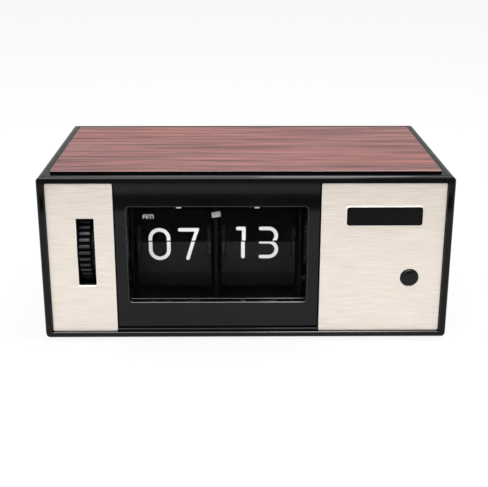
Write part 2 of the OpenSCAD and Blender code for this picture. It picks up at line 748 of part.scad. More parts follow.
module movement_base() color([0.13, 0.13, 0.14]) difference() {
    flat_plate([left_plate_x[0] - base_margin, right_plate_x[1] + base_margin],
               [plate_d[0] - base_margin / 3, plate_d[1] + base_margin / 3], base_z, plate_r);
    for (x = [left_plate_x, centre_plate_x, right_plate_x], d = tongue_spots)
        block([x[0] - trim_gap / 2, x[1] + trim_gap / 2], [d - trim_gap / 2, d + tongue_l + trim_gap / 2],
              [base_z[0] - 1, base_z[1] + 1]);
    for (x = base_spots_x, d = base_spots_d)
        bar_z(screw_r + hole_room, x, d, [base_z[0] - 1, base_z[1] + 1]);
}

module base_screws() color([0.10, 0.10, 0.11])
    for (x = base_spots_x, d = base_spots_d)
        translate([x, fy(d), base_z[1]]) rotate([180, 0, 0]) screw(base_t + boss_h);

module left_plate() color([0.11, 0.11, 0.12]) difference() {
    movement_plate(left_plate_x);
    tie_holes(left_plate_x);
    pillar_holes(left_plate_x);
    bar_x(sleeve_r + run_fit, [left_plate_x[0] - 1, left_plate_x[1] + 1], axis_d, split_z);
    bar_x(arbor_r + run_fit, [left_plate_x[0] - 1, left_plate_x[1] + 1], carry_d, split_z);
}

module centre_plate() color([0.05, 0.05, 0.06]) difference() {
    movement_plate(centre_plate_x);
    tie_holes(centre_plate_x);
    bar_x(bush_r + seat_fit, [centre_plate_x[0] - 1, centre_plate_x[1] + 1], axis_d, split_z);
    bar_y(peg_r, display_x, [plate_d[0] - 1, plate_d[0] + peg_l + pilot_end], tab_z - peg_drop);
}

module right_plate() color([0.11, 0.11, 0.12]) difference() {
    movement_plate(right_plate_x);
    tie_holes(right_plate_x);
    pillar_holes(right_plate_x);
    bar_x(bush_r + seat_fit, [right_plate_x[0] - 1, right_plate_x[1] + 1], axis_d, split_z);
    bar_x(arbor_r + run_fit, [right_plate_x[0] - 1, right_plate_x[1] + 1], reduction_d, reduction_z);
}

module tie_rods() color([0.10, 0.10, 0.11])
    for (s = tie_spots) {
        bar_x(tie_r, [left_plate_x[0] - tie_head_h, right_plate_x[1] + tie_head_h], s[0], s[1]);
        bar_x(tie_head_r, [left_plate_x[0] - tie_head_h, left_plate_x[0]], s[0], s[1]);
        bar_x(tie_head_r, [right_plate_x[1], right_plate_x[1] + tie_head_h], s[0], s[1]);
    }

module pillars(x) {
    for (s = pillar_spots) {
        bar_x(pillar_r, x, s[0], s[1]);
        bar_x(spigot_r, [x[0] - spigot_l, x[1] + spigot_l], s[0], s[1]);
    }
}

module bridge_pillars() color([0.10, 0.10, 0.11]) pillars([bridge_x[1], left_plate_x[0]]);
module motor_pillars() color([0.10, 0.10, 0.11]) pillars([right_plate_x[1], bracket_x[0]]);

module setting_bridge() color([0.66, 0.66, 0.68]) difference() {
    side_plate(bridge_x, bridge_d, bridge_z, bridge_r);
    pillar_holes(bridge_x);
    bar_x(bush_r + seat_fit, [bridge_x[0] - 1, bridge_x[1] + 1], axis_d, split_z);
    bar_x(arbor_r + run_fit, [bridge_x[0] - 1, bridge_x[1] + 1], carry_d, split_z);
    bar_x(stud_r + seat_fit, [bridge_x[0] - 1, bridge_x[1] + 1], wheel_d, wheel_z);
}

module motor_bracket() color([0.66, 0.66, 0.68]) difference() {
    side_plate(bracket_x, bracket_d, bracket_z, bridge_r);
    pillar_holes(bracket_x);
    bar_x(arbor_r + run_fit, [bracket_x[0] - 1, bracket_x[1] + 1], reduction_d, reduction_z);
    bar_x(motor_nose_r + seat_fit, [bracket_x[0] - 1, bracket_x[1] + 1], motor_d, motor_z);
}

module motor() color([0.74, 0.74, 0.76]) difference() {
    union() {
        bar_x(motor_r, [bracket_x[1], bracket_x[1] + motor_l], motor_d, motor_z);
        bar_x(motor_nose_r, [bracket_x[1] - motor_nose, bracket_x[1] + 1], motor_d, motor_z);
    }
    bar_x(arbor_r + run_fit, [bracket_x[1] - motor_nose - 1, bracket_x[1] + shaft_depth + shaft_end],
          motor_d, motor_z);
}

module shaft_bushes() color([0.16, 0.16, 0.17])
    for (x = [bridge_x, centre_plate_x, right_plate_x]) difference() {
        bar_x(bush_r, [x[0] - bush_end, x[1] + bush_end], axis_d, split_z);
        bar_x(shaft_r + run_fit, [x[0] - 1, x[1] + 1], axis_d, split_z);
    }

module finger_rail() color([0.12, 0.12, 0.13])
    block([left_plate_x[0], right_plate_x[1]], rail_d, rail_z);

// Tilted tab with a peg that is pressed into the front edge of the centre plate
module centre_tab() color([0.72, 0.72, 0.72]) {
    translate([display_x, fy(rail_d[1]), tab_z]) rotate([-tab_tilt, -tab_roll, 0])
        translate([-tab_w / 2, -rail_t, -tab_h]) cube([tab_w, rail_t, tab_h]);
    bar_y(peg_r - seat_fit, display_x, [rail_d[0], rail_d[1] + peg_l], tab_z - peg_drop);
}

module finger(x) {
    block([x - finger_w / 2, x + finger_w / 2], [rail_d[1], rail_d[1] + finger_t], finger_z);
}
module hour_finger() color([0.86, 0.86, 0.86]) finger(hour_x + hour_finger_shift);
module minute_finger() color([0.86, 0.86, 0.86]) finger(minute_x + minute_finger_shift);

// Leaf with its pin axis on X at the origin, standing up
module leaf() {
    foot = -leaf_pin_inset;
    top = leaf_h - leaf_pin_inset;
    half = leaf_w / 2;
    pin_l = notch_w - disc_inset - disc_t + 0.6;
    translate([0, leaf_t / 2, 0]) rotate([90, 0, 0]) linear_extrude(leaf_t) polygon([
        [-leaf_neck, foot], [leaf_neck, foot], [leaf_neck, foot + notch_l], [half, foot + notch_l],
        [half, top], [-half, top], [-half, foot + notch_l], [-leaf_neck, foot + notch_l]
    ]);
    for (sx = [-1, 1]) translate([sx * (leaf_neck + pin_l / 2 - 0.25), 0, 0]) rotate([0, 90, 0])
        cylinder(r = leaf_pin_r, h = pin_l + 0.5, center = true);
}

// Leaf k of a pack of n, counted from the standing one over the rear to the hanging one
module pack_leaf(x, n, k) {
    start = asin(split_step / drum_r);
    theta = start + k * (360 - 2 * start) / (n - 1);
    back = max(drum_r * (cos(start) - cos(theta)), min(k, n - 1 - k) * stack_pitch);
    t = k / (n - 1);
    spread = t - sin(360 * t) / (2 * PI);
    phi = 90 + lean + (180 - 2 * lean) * spread;
    translate([x, fy(axis_d) - drum_r * cos(start) + back, split_z + drum_r * sin(theta)])
        rotate([90 - phi, 0, 0]) leaf($fn = 8);
}

module falling_leaf(x) { translate([x, fy(hinge_d), split_z]) rotate([-lean, 0, 0]) leaf(); }

module hour_falling_leaf() color([0.14, 0.15, 0.16]) falling_leaf(hour_x);
module minute_falling_leaf() color([0.14, 0.15, 0.16]) falling_leaf(minute_x);
module hour_next_leaf() color([0.14, 0.15, 0.16]) pack_leaf(hour_x, hour_leaves - 1, 0);
module minute_next_leaf() color([0.14, 0.15, 0.16]) pack_leaf(minute_x, minute_leaves - 1, 0);
module hour_lower_leaf() color([0.14, 0.15, 0.16]) pack_leaf(hour_x, hour_leaves - 1, hour_leaves - 2);
module minute_lower_leaf() color([0.14, 0.15, 0.16])
    pack_leaf(minute_x, minute_leaves - 1, minute_leaves - 2);
module hour_leaf_pack() color([0.14, 0.15, 0.16])
    for (k = [1 : hour_leaves - 3]) pack_leaf(hour_x, hour_leaves - 1, k);
module minute_leaf_pack() color([0.14, 0.15, 0.16])
    for (k = [1 : minute_leaves - 3]) pack_leaf(minute_x, minute_leaves - 1, k);

// Drums, whose discs have a ring track for the leaf pins
module drum_body(x) {
    difference() {
        for (sx = [-1, 1])
            bar_x(disc_r, [x + min(sx * disc_in, sx * disc_out), x + max(sx * disc_in, sx * disc_out)],
                  axis_d, split_z);
        difference() {
            bar_x(track_r[1], [x - disc_in - track_d, x + disc_in + track_d], axis_d, split_z);
            bar_x(track_r[0], [x - disc_out, x + disc_out], axis_d, split_z);
        }
    }
    bar_x(core_r, [x - disc_in, x + disc_in], axis_d, split_z);
}

module minute_drum() color([0.20, 0.20, 0.21]) difference() {
    drum_body(minute_x);
    bar_x(shaft_r + seat_fit, [minute_x - leaf_w, minute_x + leaf_w], axis_d, split_z);
}

module hour_drum() color([0.20, 0.20, 0.21]) difference() {
    union() {
        drum_body(hour_x);
        bar_x(sleeve_r, [sleeve_end, hour_x - disc_in], axis_d, split_z);
    }
    bar_x(shaft_r + run_fit, [hour_x - leaf_w, hour_x + leaf_w], axis_d, split_z);
}

module drum_shaft() color([0.75, 0.75, 0.77]) bar_x(shaft_r, shaft_x, axis_d, split_z);

// Gears
module on_shaft(x, r) {
    difference() {
        children();
        bar_x(r, [x[0] - 2 * gear_space, x[1] + 2 * gear_space], axis_d, split_z);
    }
}

module drive_gear() color([0.16, 0.16, 0.17]) on_shaft(drive_x, shaft_r + seat_fit)
    gear(drive_teeth[1], gear_m, drive_x, axis_d, split_z, drive_angle);

module carry_pinion() color([0.78, 0.65, 0.30]) on_shaft(carry_wheel_x, shaft_r + seat_fit)
    gear(carry_teeth[0], carry_m, [carry_wheel_x[0] - gear_space, carry_wheel_x[1] + gear_space], axis_d,
         split_z, 0);

module setting_pinion() color([0.78, 0.65, 0.30]) on_shaft(setting_x, shaft_r + seat_fit)
    gear(setting_teeth, gear_m, setting_x, axis_d, split_z, wheel_angle);

module hour_gear() color([0.16, 0.16, 0.17]) on_shaft(hour_gear_x, sleeve_r + seat_fit)
    gear(hour_teeth[1], hour_m, hour_gear_x, axis_d, split_z, 0);

module carry_gear() color([0.16, 0.16, 0.17]) difference() {
    union() {
        gear(carry_teeth[1], carry_m, carry_wheel_x, carry_d, split_z, 180 / carry_teeth[1]);
        gear(hour_teeth[0], hour_m, [carry_wheel_x[1] - 0.5, hour_gear_x[1] + gear_space], carry_d, split_z,
             180 / hour_teeth[0]);
    }
    bar_x(arbor_r + seat_fit, [carry_wheel_x[0] - 1, hour_gear_x[1] + 2], carry_d, split_z);
}

module carry_arbor() color([0.75, 0.75, 0.77])
    bar_x(arbor_r, [bridge_x[0] + arbor_end, left_plate_x[1] - arbor_end], carry_d, split_z);

module thumbwheel_gear() color([0.20, 0.20, 0.21]) difference() {
    gear(thumb_teeth, gear_m, thumb_gear_x, wheel_d, wheel_z, wheel_angle + 180 + 180 / thumb_teeth);
    bar_x(stud_r + run_fit, [thumb_gear_x[0] - 1, thumb_gear_x[1] + 1], wheel_d, wheel_z);
}

// Thumbwheel with square ribs and a dished outer face
module thumbwheel() color([0.06, 0.06, 0.06]) {
    pitch = 360 / wheel_ribs;
    dish_r = [stud_r + hub_wall, wheel_r - tyre_t];
    dish_h = 1;
    difference() {
        translate([wheel_x[0], fy(wheel_d), wheel_z]) rotate([90, 0, 90]) linear_extrude(wheel_w) polygon([
            for (i = [0 : wheel_ribs - 1]) for (c = [[wheel_r - rib_h, -0.46], [wheel_r, -0.3],
                                                     [wheel_r, 0.3], [wheel_r - rib_h, 0.46]])
                [c[0] * cos(pitch * (i + c[1])), c[0] * sin(pitch * (i + c[1]))]
        ]);
        difference() {
            bar_x(dish_r[1], [wheel_x[0] - 1, wheel_x[0] + dish_h], wheel_d, wheel_z);
            bar_x(dish_r[0], [wheel_x[0] - 2, wheel_x[0] + dish_h + 1], wheel_d, wheel_z);
        }
        bar_x(stud_r + run_fit, [wheel_x[0] - 1, wheel_x[1] + 1], wheel_d, wheel_z);
    }
}

module thumbwheel_stud() color([0.75, 0.75, 0.77]) {
    clip = [wheel_x[0] - bush_room - clip_t, wheel_x[0] - bush_room];
    bar_x(stud_r, [clip[0], bridge_x[1]], wheel_d, wheel_z);
    bar_x(stud_r + clip_lap, clip, wheel_d, wheel_z);
}

module reduction_gear() color([0.16, 0.16, 0.17]) difference() {
    union() {
        gear(motor_teeth[1], gear_m, reduction_x, reduction_d, reduction_z, 0);
        gear(drive_teeth[0], gear_m, [drive_x[0] - gear_space / 2, reduction_x[0] + 0.5], reduction_d,
             reduction_z, drive_angle + 180 + 180 / drive_teeth[0]);
    }
    bar_x(arbor_r + seat_fit, [drive_x[0] - 1, reduction_x[1] + 1], reduction_d, reduction_z);
}

module reduction_arbor() color([0.75, 0.75, 0.77])
    bar_x(arbor_r, [right_plate_x[0] + arbor_end, bracket_x[1] - arbor_end], reduction_d, reduction_z);

module motor_pinion() color([0.78, 0.65, 0.30]) {
    pinion_x = [reduction_x[0] - gear_space, reduction_x[1] + gear_space];
    gear(motor_teeth[0], gear_m, pinion_x, motor_d, motor_z, 180 + 180 / motor_teeth[0]);
    bar_x(arbor_r, [pinion_x[0], bracket_x[1] + shaft_depth], motor_d, motor_z);
}

case_shell();
rear_cover();
top_panel();
front_frame();
left_trim();
right_trim();
window_bezel();
window_lens();
badge_plate();
feet();
rear_screws();
front_screws();
movement_base();
base_screws();
left_plate();
centre_plate();
right_plate();
tie_rods();
setting_bridge();
bridge_pillars();
thumbwheel_stud();
motor_bracket();
motor_pillars();
motor();
finger_rail();
hour_finger();
minute_finger();
centre_tab();
shaft_bushes();
circuit_board();
board_screws();
button_switch();
battery_tray();
battery_cells();
battery_contacts();
hour_next_leaf();
hour_lower_leaf();
hour_leaf_pack();
minute_next_leaf();
minute_lower_leaf();
minute_leaf_pack();
minute_drum();
drum_shaft();
drive_gear();
carry_pinion();
setting_pinion();
hour_drum();
hour_gear();
carry_gear();
carry_arbor();
thumbwheel();
thumbwheel_gear();
reduction_gear();
reduction_arbor();
motor_pinion();
hour_falling_leaf();
minute_falling_leaf();
button_cap();
switch_plunger();
battery_door();
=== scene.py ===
# %% [markdown]
# # A flip clock, dressed for its picture
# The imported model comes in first, as a fixed frame in metres. Its pieces keep their places. This lesson
# gives each piece its finish, and makes new surfaces where an edge, a rib or a printed figure needs more
# than the frame has.

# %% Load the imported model
import json
import bmesh
import bpy
import numpy as np
from mathutils import Matrix, Vector


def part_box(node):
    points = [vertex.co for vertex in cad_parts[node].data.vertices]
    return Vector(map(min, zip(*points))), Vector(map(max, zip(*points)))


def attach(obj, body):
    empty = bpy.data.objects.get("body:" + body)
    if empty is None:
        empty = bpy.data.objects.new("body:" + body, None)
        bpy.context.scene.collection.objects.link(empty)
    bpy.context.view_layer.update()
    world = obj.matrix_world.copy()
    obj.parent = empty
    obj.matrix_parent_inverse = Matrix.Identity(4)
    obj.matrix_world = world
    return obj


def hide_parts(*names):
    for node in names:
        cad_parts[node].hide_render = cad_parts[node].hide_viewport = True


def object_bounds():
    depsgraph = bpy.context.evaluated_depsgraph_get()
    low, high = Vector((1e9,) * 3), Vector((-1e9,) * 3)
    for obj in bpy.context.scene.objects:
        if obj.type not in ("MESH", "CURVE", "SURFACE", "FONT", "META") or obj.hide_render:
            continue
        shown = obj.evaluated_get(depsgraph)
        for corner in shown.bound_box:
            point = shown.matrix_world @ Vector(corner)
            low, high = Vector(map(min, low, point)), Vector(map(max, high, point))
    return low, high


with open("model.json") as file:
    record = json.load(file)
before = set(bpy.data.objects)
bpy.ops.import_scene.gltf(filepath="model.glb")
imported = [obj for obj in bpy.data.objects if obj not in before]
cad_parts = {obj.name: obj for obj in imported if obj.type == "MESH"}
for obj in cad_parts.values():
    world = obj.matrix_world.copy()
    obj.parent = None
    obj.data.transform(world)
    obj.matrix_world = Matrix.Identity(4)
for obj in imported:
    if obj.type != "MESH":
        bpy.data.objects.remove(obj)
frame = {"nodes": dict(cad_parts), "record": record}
cad_box = [list(corner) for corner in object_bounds()]
print("pieces in the frame:", len(frame["nodes"]), "box in metres:", cad_box)

# %% [markdown]
# ## Camera
# The camera stands where the photograph was taken: a little to the left of the middle, raised, and looking
# down at about nineteen degrees. A camera can be aimed with a constraint, but three direction vectors say
# exactly how it is turned, so its matrix is written from them.

# %% Camera
CAMERA_PLACE = Vector((-0.006247, -0.479541, 0.194511))
LOOK_DOWN = np.radians(18.938)
LOOK_ASIDE = np.radians(-0.7025)
ROLL = np.radians(-0.1057)
FOCAL_MM = 71.34
SENSOR_MM = 36.0
NEAREST = 0.01


def camera_matrix():
    """Columns: the camera's right, its up and its back, turned by the roll about the line of sight."""
    back = Vector((np.sin(LOOK_ASIDE) * np.cos(LOOK_DOWN), -np.cos(LOOK_ASIDE) * np.cos(LOOK_DOWN),
                   np.sin(LOOK_DOWN)))
    right = Vector((np.cos(LOOK_ASIDE), np.sin(LOOK_ASIDE), 0.0))
    up = back.cross(right)
    rolled_right = right * np.cos(ROLL) - up * np.sin(ROLL)
    rolled_up = right * np.sin(ROLL) + up * np.cos(ROLL)
    turned = Matrix((rolled_right, rolled_up, back)).transposed().to_4x4()
    return Matrix.Translation(CAMERA_PLACE) @ turned


lens_data = bpy.data.cameras.new("studio_camera")
lens_data.lens = FOCAL_MM
lens_data.sensor_width = SENSOR_MM
lens_data.clip_start = NEAREST
camera = bpy.data.objects.new("studio_camera", lens_data)
camera.matrix_world = camera_matrix()
bpy.context.scene.collection.objects.link(camera)
bpy.context.scene.camera = camera
print("camera at", [round(v, 4) for v in camera.location])

# %% [markdown]
# ## Measures
# Lengths are easier to read in millimetres, so shapes are worked out in millimetres and scaled once, when
# they become meshes. The frame says where every piece is: a new surface takes its sizes from the node that
# it stands for. The leaves add the height of their split, their lean and the depth of their pins.

# %% Measures taken from the frame
MM = 0.001


def node_box(node):
    """Lowest and highest corner of a node, in millimetres."""
    low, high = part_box(node)
    return np.array(low) / MM, np.array(high) / MM


LENS_LAP = 0.9
TOP_LAP = 0.45
SPLIT_Z = 41.9
LEAN = np.radians(2.0)
PIN_DEPTH = 24.5
FRONT_RIM = cad_box[0][1] / MM
lens_low, lens_high = node_box("window_lens")
window_x = np.array([lens_low[0] + LENS_LAP, lens_high[0] - LENS_LAP])
window_z = np.array([lens_low[2] + LENS_LAP, lens_high[2] - LENS_LAP - TOP_LAP])
STANDING_FRONT = np.array([0.0, -np.cos(LEAN), np.sin(LEAN)])
falling_pin = np.array([0.0, FRONT_RIM + PIN_DEPTH, SPLIT_Z])
print("window across", window_x.round(2), "and up", window_z.round(2))

# %% [markdown]
# ## Helpers for surfaces
# Most new pieces are plates with a bevelled edge, or rings cut from plates. Each is a stack of closed
# outlines with the same number of points, one behind the other. Joining the outlines point by point gives
# a skin of four-sided faces. A Bevel modifier could round the edges, but it would not know which edges are
# bright and which are hidden, so the bevels are outlines of their own.

# %% Skins over outlines
DOUBLES = 1e-7
SMALLEST_R = 0.05


def keep_mesh(name, mesh, smooth_below=32.0):
    """Merges doubled points, turns faces outwards, smooths edges below an angle in degrees, and links it."""
    work = bmesh.new()
    work.from_mesh(mesh)
    bmesh.ops.remove_doubles(work, verts=work.verts, dist=DOUBLES)
    bmesh.ops.recalc_face_normals(work, faces=work.faces)
    work.to_mesh(mesh)
    work.free()
    mesh.shade_smooth()
    mesh.set_sharp_from_angle(angle=np.radians(smooth_below))
    piece = bpy.data.objects.new(name, mesh)
    bpy.context.scene.collection.objects.link(piece)
    print(name, "faces:", len(mesh.polygons))
    return piece


def skin(name, rings, ends="flat", smooth_below=32.0):
    """Skin over closed outlines, an array (outlines, points, xyz) in millimetres.

    Points j and j + 1 of one outline and of the next make a four-sided face. The ends are closed by a flat
    face each ("flat"), joined to each other to make a ring ("ring"), or left to the poles ("poles").
    """
    rings = np.asarray(rings, dtype=float)
    count, points = rings.shape[:2]
    index = np.arange(count * points).reshape(count, points)
    here = index if ends == "ring" else index[:-1]
    there = np.roll(index, -1, axis=0) if ends == "ring" else index[1:]
    quads = np.stack((here, np.roll(here, -1, axis=1), np.roll(there, -1, axis=1), there), axis=-1)
    faces = quads.reshape(-1, 4).tolist()
    if ends == "flat":
        faces += [index[0].tolist(), index[-1].tolist()]
    mesh = bpy.data.meshes.new(name)
    mesh.from_pydata((rings.reshape(-1, 3) * MM).tolist(), [], faces)
    return keep_mesh(name, mesh, smooth_below)


def round_outline(x, z, radius, grow=0.0, steps=6, side=12):
    """Rectangle with round corners, grown on every side: quarter circles joined by divided straight sides."""
    x = np.array([x[0] - grow, x[1] + grow])
    z = np.array([z[0] - grow, z[1] + grow])
    radius = max(radius + grow, SMALLEST_R)
    turn = np.linspace(0.0, np.pi / 2, steps + 1) + np.arange(4)[:, None] * np.pi / 2
    centre_x = np.array([x[1] - radius, x[0] + radius, x[0] + radius, x[1] - radius])
    centre_z = np.array([z[1] - radius, z[1] - radius, z[0] + radius, z[0] + radius])
    arcs = np.stack((centre_x[:, None] + radius * np.cos(turn),
                     centre_z[:, None] + radius * np.sin(turn)), axis=-1)
    share = np.linspace(0.0, 1.0, side + 2)[1:-1, None]
    sides = arcs[:, -1:] * (1 - share) + np.roll(arcs, -1, axis=0)[:, :1] * share
    return np.concatenate((arcs, sides), axis=1).reshape(-1, 2)


def facing_front(outline, depth):
    """An outline across and up, set on the plane at a depth behind the front rim."""
    return np.column_stack((outline[:, 0], np.full(len(outline), FRONT_RIM + depth), outline[:, 1]))


def facing_up(outline, height):
    """An outline across and backwards, set at a height above the table."""
    return np.column_stack((outline, np.full(len(outline), height)))


# %% [markdown]
# ## Finishes
# Every finish is a small tree of nodes on Object coordinates. A photograph could be wrapped round a piece,
# but procedural noise has no seams and keeps its scale when a piece is changed. Most trees use noise three
# times: for a change of colour, a change of roughness, and a fine relief.

# %% Node helpers


class Finish:
    """A material with one Principled shader, and short ways to add noise, blends and relief to it."""

    def __init__(self, name, metallic=0.0, specular=0.5):
        self.material = bpy.data.materials.new(name)
        self.material.use_nodes = True
        self.tree = self.material.node_tree
        self.shader = self.tree.nodes["Principled BSDF"]
        self.shader.inputs["Metallic"].default_value = metallic
        self.shader.inputs["Specular IOR Level"].default_value = specular
        self.place = self.tree.nodes.new("ShaderNodeTexCoord").outputs["Object"]

    def link(self, output, socket):
        """Joins an output to a socket of the shader."""
        self.tree.links.new(output, self.shader.inputs[socket])

    def noise(self, scale, detail=3.0, stretch=(1.0, 1.0, 1.0), shift=(0.0, 0.0, 0.0)):
        """Noise between 0 and 1 on stretched coordinates. The scale counts features in a metre."""
        mapping = self.tree.nodes.new("ShaderNodeMapping")
        mapping.inputs["Scale"].default_value = stretch
        mapping.inputs["Location"].default_value = shift
        self.tree.links.new(self.place, mapping.inputs["Vector"])
        texture = self.tree.nodes.new("ShaderNodeTexNoise")
        texture.inputs["Scale"].default_value = scale
        texture.inputs["Detail"].default_value = detail
        self.tree.links.new(mapping.outputs["Vector"], texture.inputs["Vector"])
        return texture.outputs["Fac"]

    def along(self, direction, low, high):
        """A ramp from 0 to 1 along a direction, between two distances in metres from the origin."""
        node = self.tree.nodes.new("ShaderNodeVectorMath")
        node.operation = "DOT_PRODUCT"
        self.tree.links.new(self.place, node.inputs[0])
        node.inputs[1].default_value = direction
        return self.range(node.outputs["Value"], low, high, 0.0, 1.0)

    def range(self, value, low, high, out_low, out_high):
        """Maps a value from one range to another, held at the ends."""
        node = self.tree.nodes.new("ShaderNodeMapRange")
        for socket, number in (("From Min", low), ("From Max", high),
                               ("To Min", out_low), ("To Max", out_high)):
            node.inputs[socket].default_value = number
        self.tree.links.new(value, node.inputs["Value"])
        return node.outputs["Result"]

    def blend(self, factor, first, second):
        """A colour between two colours. Either may be an output of another node."""
        node = self.tree.nodes.new("ShaderNodeMix")
        node.data_type = "RGBA"
        self.tree.links.new(factor, node.inputs["Factor"])
        for socket, colour in ((node.inputs[6], first), (node.inputs[7], second)):
            if isinstance(colour, bpy.types.NodeSocket):
                self.tree.links.new(colour, socket)
            else:
                socket.default_value = (*colour, 1.0)
        return node.outputs[2]

    def relief(self, height, strength, distance):
        """Bump from a height, with its depth in metres."""
        node = self.tree.nodes.new("ShaderNodeBump")
        node.inputs["Strength"].default_value = strength
        node.inputs["Distance"].default_value = distance
        self.tree.links.new(height, node.inputs["Height"])
        self.tree.links.new(node.outputs["Normal"], self.shader.inputs["Normal"])


# %% [markdown]
# Two kinds of finish serve most pieces. Moulded plastic has a slow cloud in its colour and a fine pebble
# in its shine. Worked metal has fine marks drawn out one way, and the same marks show in its colour, its
# shine and its relief.

# %% Plastic and metal
CLOUD_SPAN = (0.3, 0.7)
PEBBLE_SPAN = (0.25, 0.75)
PEBBLE_DEPTH = 0.06 * MM
MARK_DEPTH = 0.03 * MM


def moulded(name, dark, light, rough, specular=0.5, grain=1500.0, relief=0.12, cloud=45.0, other=None):
    """Moulded plastic: a slow cloud in the colour, a fine pebble in roughness and relief.

    A piece with two sides also gets the other side's two colours, and the ramp between the sides as a
    direction and two distances along it.
    """
    finish = Finish(name, specular=specular)
    shade = finish.range(finish.noise(cloud), *CLOUD_SPAN, 0.0, 1.0)
    colour = finish.blend(shade, dark, light)
    if other:
        other_dark, other_light, ramp = other
        colour = finish.blend(finish.along(*ramp), finish.blend(shade, other_dark, other_light), colour)
    finish.link(colour, "Base Color")
    pebble = finish.noise(grain, detail=2.0)
    finish.link(finish.range(pebble, *PEBBLE_SPAN, *rough), "Roughness")
    finish.relief(pebble, relief, PEBBLE_DEPTH)
    return finish.material


def worked_metal(name, dark, light, rough, stretch, scale=900.0, relief=0.08, metallic=1.0):
    """Metal with fine marks drawn out in one direction."""
    finish = Finish(name, metallic=metallic)
    marks = finish.noise(scale, detail=4.0, stretch=stretch)
    finish.link(finish.blend(finish.range(marks, *CLOUD_SPAN, 0.0, 1.0), dark, light), "Base Color")
    finish.link(finish.range(marks, *PEBBLE_SPAN, *rough), "Roughness")
    finish.relief(marks, relief, MARK_DEPTH)
    return finish.material


# %% [markdown]
# ### Plastics, rubber and board
# The case is black plastic with a weak shine. The bezel and the button are polished: their roughness is
# low and their reflections sharp. The leaves are sheet plastic with a dull face. Their backs, which face
# forwards on the lower leaves, are paler: painted light, for the light that reaches only the lower half of
# the window. The drums' rims are paler below the split: painted light too.

# %% Plastics
FACE_BLEND = 0.02 * MM
# Height over which the painted light on the drums' rims fades in below the split.
PAINTED_LIGHT_BLEND = 0.6
LEAF_SHADES = ((0.0009, 0.0010, 0.0015), (0.0019, 0.0020, 0.0026), (0.50, 0.62))
DRUM_SHADES = ((0.0024, 0.0024, 0.0027), (0.0042, 0.0042, 0.0046), (0.45, 0.60))
SHEET = {"grain": 2500.0, "relief": 0.04}
leaf_middle = float(falling_pin @ STANDING_FRONT) * MM
# Painted light: the paler colours of the falling leaves' backs, which also show on the lower leaves, stand in
# for the light that reaches only the lower half of the window.
painted_light_leaf = ((0.0080, 0.0086, 0.0095), (0.0110, 0.0116, 0.0125),
             (STANDING_FRONT, leaf_middle - FACE_BLEND, leaf_middle + FACE_BLEND))
# Painted light: the drums' rims are paler below the split, where light reaches them through the notches.
painted_light_below_split = ((0.0230, 0.0230, 0.0250), (0.0290, 0.0290, 0.0310),
            ((0.0, 0.0, 1.0), (SPLIT_Z - PAINTED_LIGHT_BLEND) * MM, SPLIT_Z * MM))
finishes = {
    "case_plastic": moulded("satin_case_plastic", (0.0012, 0.0012, 0.0016), (0.0024, 0.0024, 0.0029),
                            (0.06, 0.09), specular=0.20, relief=0.02),
    "gloss_black": moulded("polished_black_plastic", (0.0026, 0.0026, 0.0032), (0.0040, 0.0040, 0.0048),
                           (0.04, 0.07), specular=0.22, relief=0.01),
    "gloss_edge": moulded("polished_black_edge", (0.0040, 0.0040, 0.0046), (0.0060, 0.0060, 0.0066),
                          (0.10, 0.16), specular=0.75, relief=0.01),
    "badge_black": moulded("dull_badge_black", (0.0030, 0.0030, 0.0034), (0.0046, 0.0046, 0.0052),
                           (0.20, 0.30), specular=0.08, relief=0.02),
    "inner_plastic": moulded("dull_inner_plastic", (0.0035, 0.0035, 0.0038), (0.0065, 0.0065, 0.0068),
                             (0.40, 0.55), specular=0.25),
    "wheel_plastic": moulded("dull_wheel_plastic", (0.010, 0.010, 0.011), (0.016, 0.016, 0.017),
                             (0.34, 0.44), specular=0.28),
    "leaf_plastic": moulded("dull_leaf_plastic", *LEAF_SHADES, specular=0.01, **SHEET),
    # The falling leaves' backs and the lower leaves carry painted light in their paler colour.
    "falling_leaf": moulded("leaf_with_painted_light_back", *LEAF_SHADES, specular=0.01, other=painted_light_leaf, **SHEET),
    "painted_light_leaf": moulded("satin_leaf_painted_light", (0.0070, 0.0075, 0.0083), (0.0096, 0.0102, 0.0110), (0.40, 0.52),
                         specular=0.10, **SHEET),
    "pack_plastic": moulded("stacked_leaf_plastic", (0.0040, 0.0043, 0.0050), (0.0062, 0.0066, 0.0074),
                            (0.45, 0.58), specular=0.06, **SHEET),
    "drum_plastic": moulded("dull_drum_plastic", *DRUM_SHADES, specular=0.06),
    # Drums with painted light below the split.
    "drum_painted_light_below": moulded("drum_plastic_painted_light_below", *DRUM_SHADES, specular=0.06, other=painted_light_below_split),
    "gear_nylon": moulded("dark_acetal", (0.0040, 0.0040, 0.0043), (0.0070, 0.0070, 0.0073), (0.35, 0.5),
                          specular=0.25),
    "pale_plastic": moulded("pale_tab_plastic", (0.50, 0.50, 0.49), (0.70, 0.70, 0.68), (0.3, 0.45),
                            cloud=900.0),
    "black_steel": moulded("blackened_steel", (0.0045, 0.0045, 0.0050), (0.0070, 0.0070, 0.0075),
                           (0.40, 0.55), specular=0.15),
    "foot_rubber": moulded("foot_rubber", (0.010, 0.010, 0.010), (0.018, 0.018, 0.018), (0.75, 0.9)),
    "board": moulded("board_laminate", (0.010, 0.075, 0.025), (0.014, 0.105, 0.038), (0.3, 0.45),
                     grain=700.0),
    "cell_jacket": moulded("cell_jacket", (0.08, 0.085, 0.09), (0.11, 0.115, 0.12), (0.22, 0.32)),
    "printed_figure": moulded("figure_ink", (0.88, 0.88, 0.89), (0.94, 0.94, 0.95), (0.42, 0.55), **SHEET),
    # Painted highlight: the paler colour of the veneer's eased edge.
    "veneer_painted_highlight": moulded("eased_edge_painted_highlight", (0.30, 0.175, 0.165), (0.37, 0.225, 0.21), (0.3, 0.42),
                           cloud=300.0),
}
print("plastic finishes:", len(finishes))

# %% [markdown]
# ### Metals
# Metal shows its working marks. The trim plates are brushed along their width, so the noise is stretched
# along X. Turned pieces get marks round X, sheet steel is drawn upwards, and screws get an even mottle.

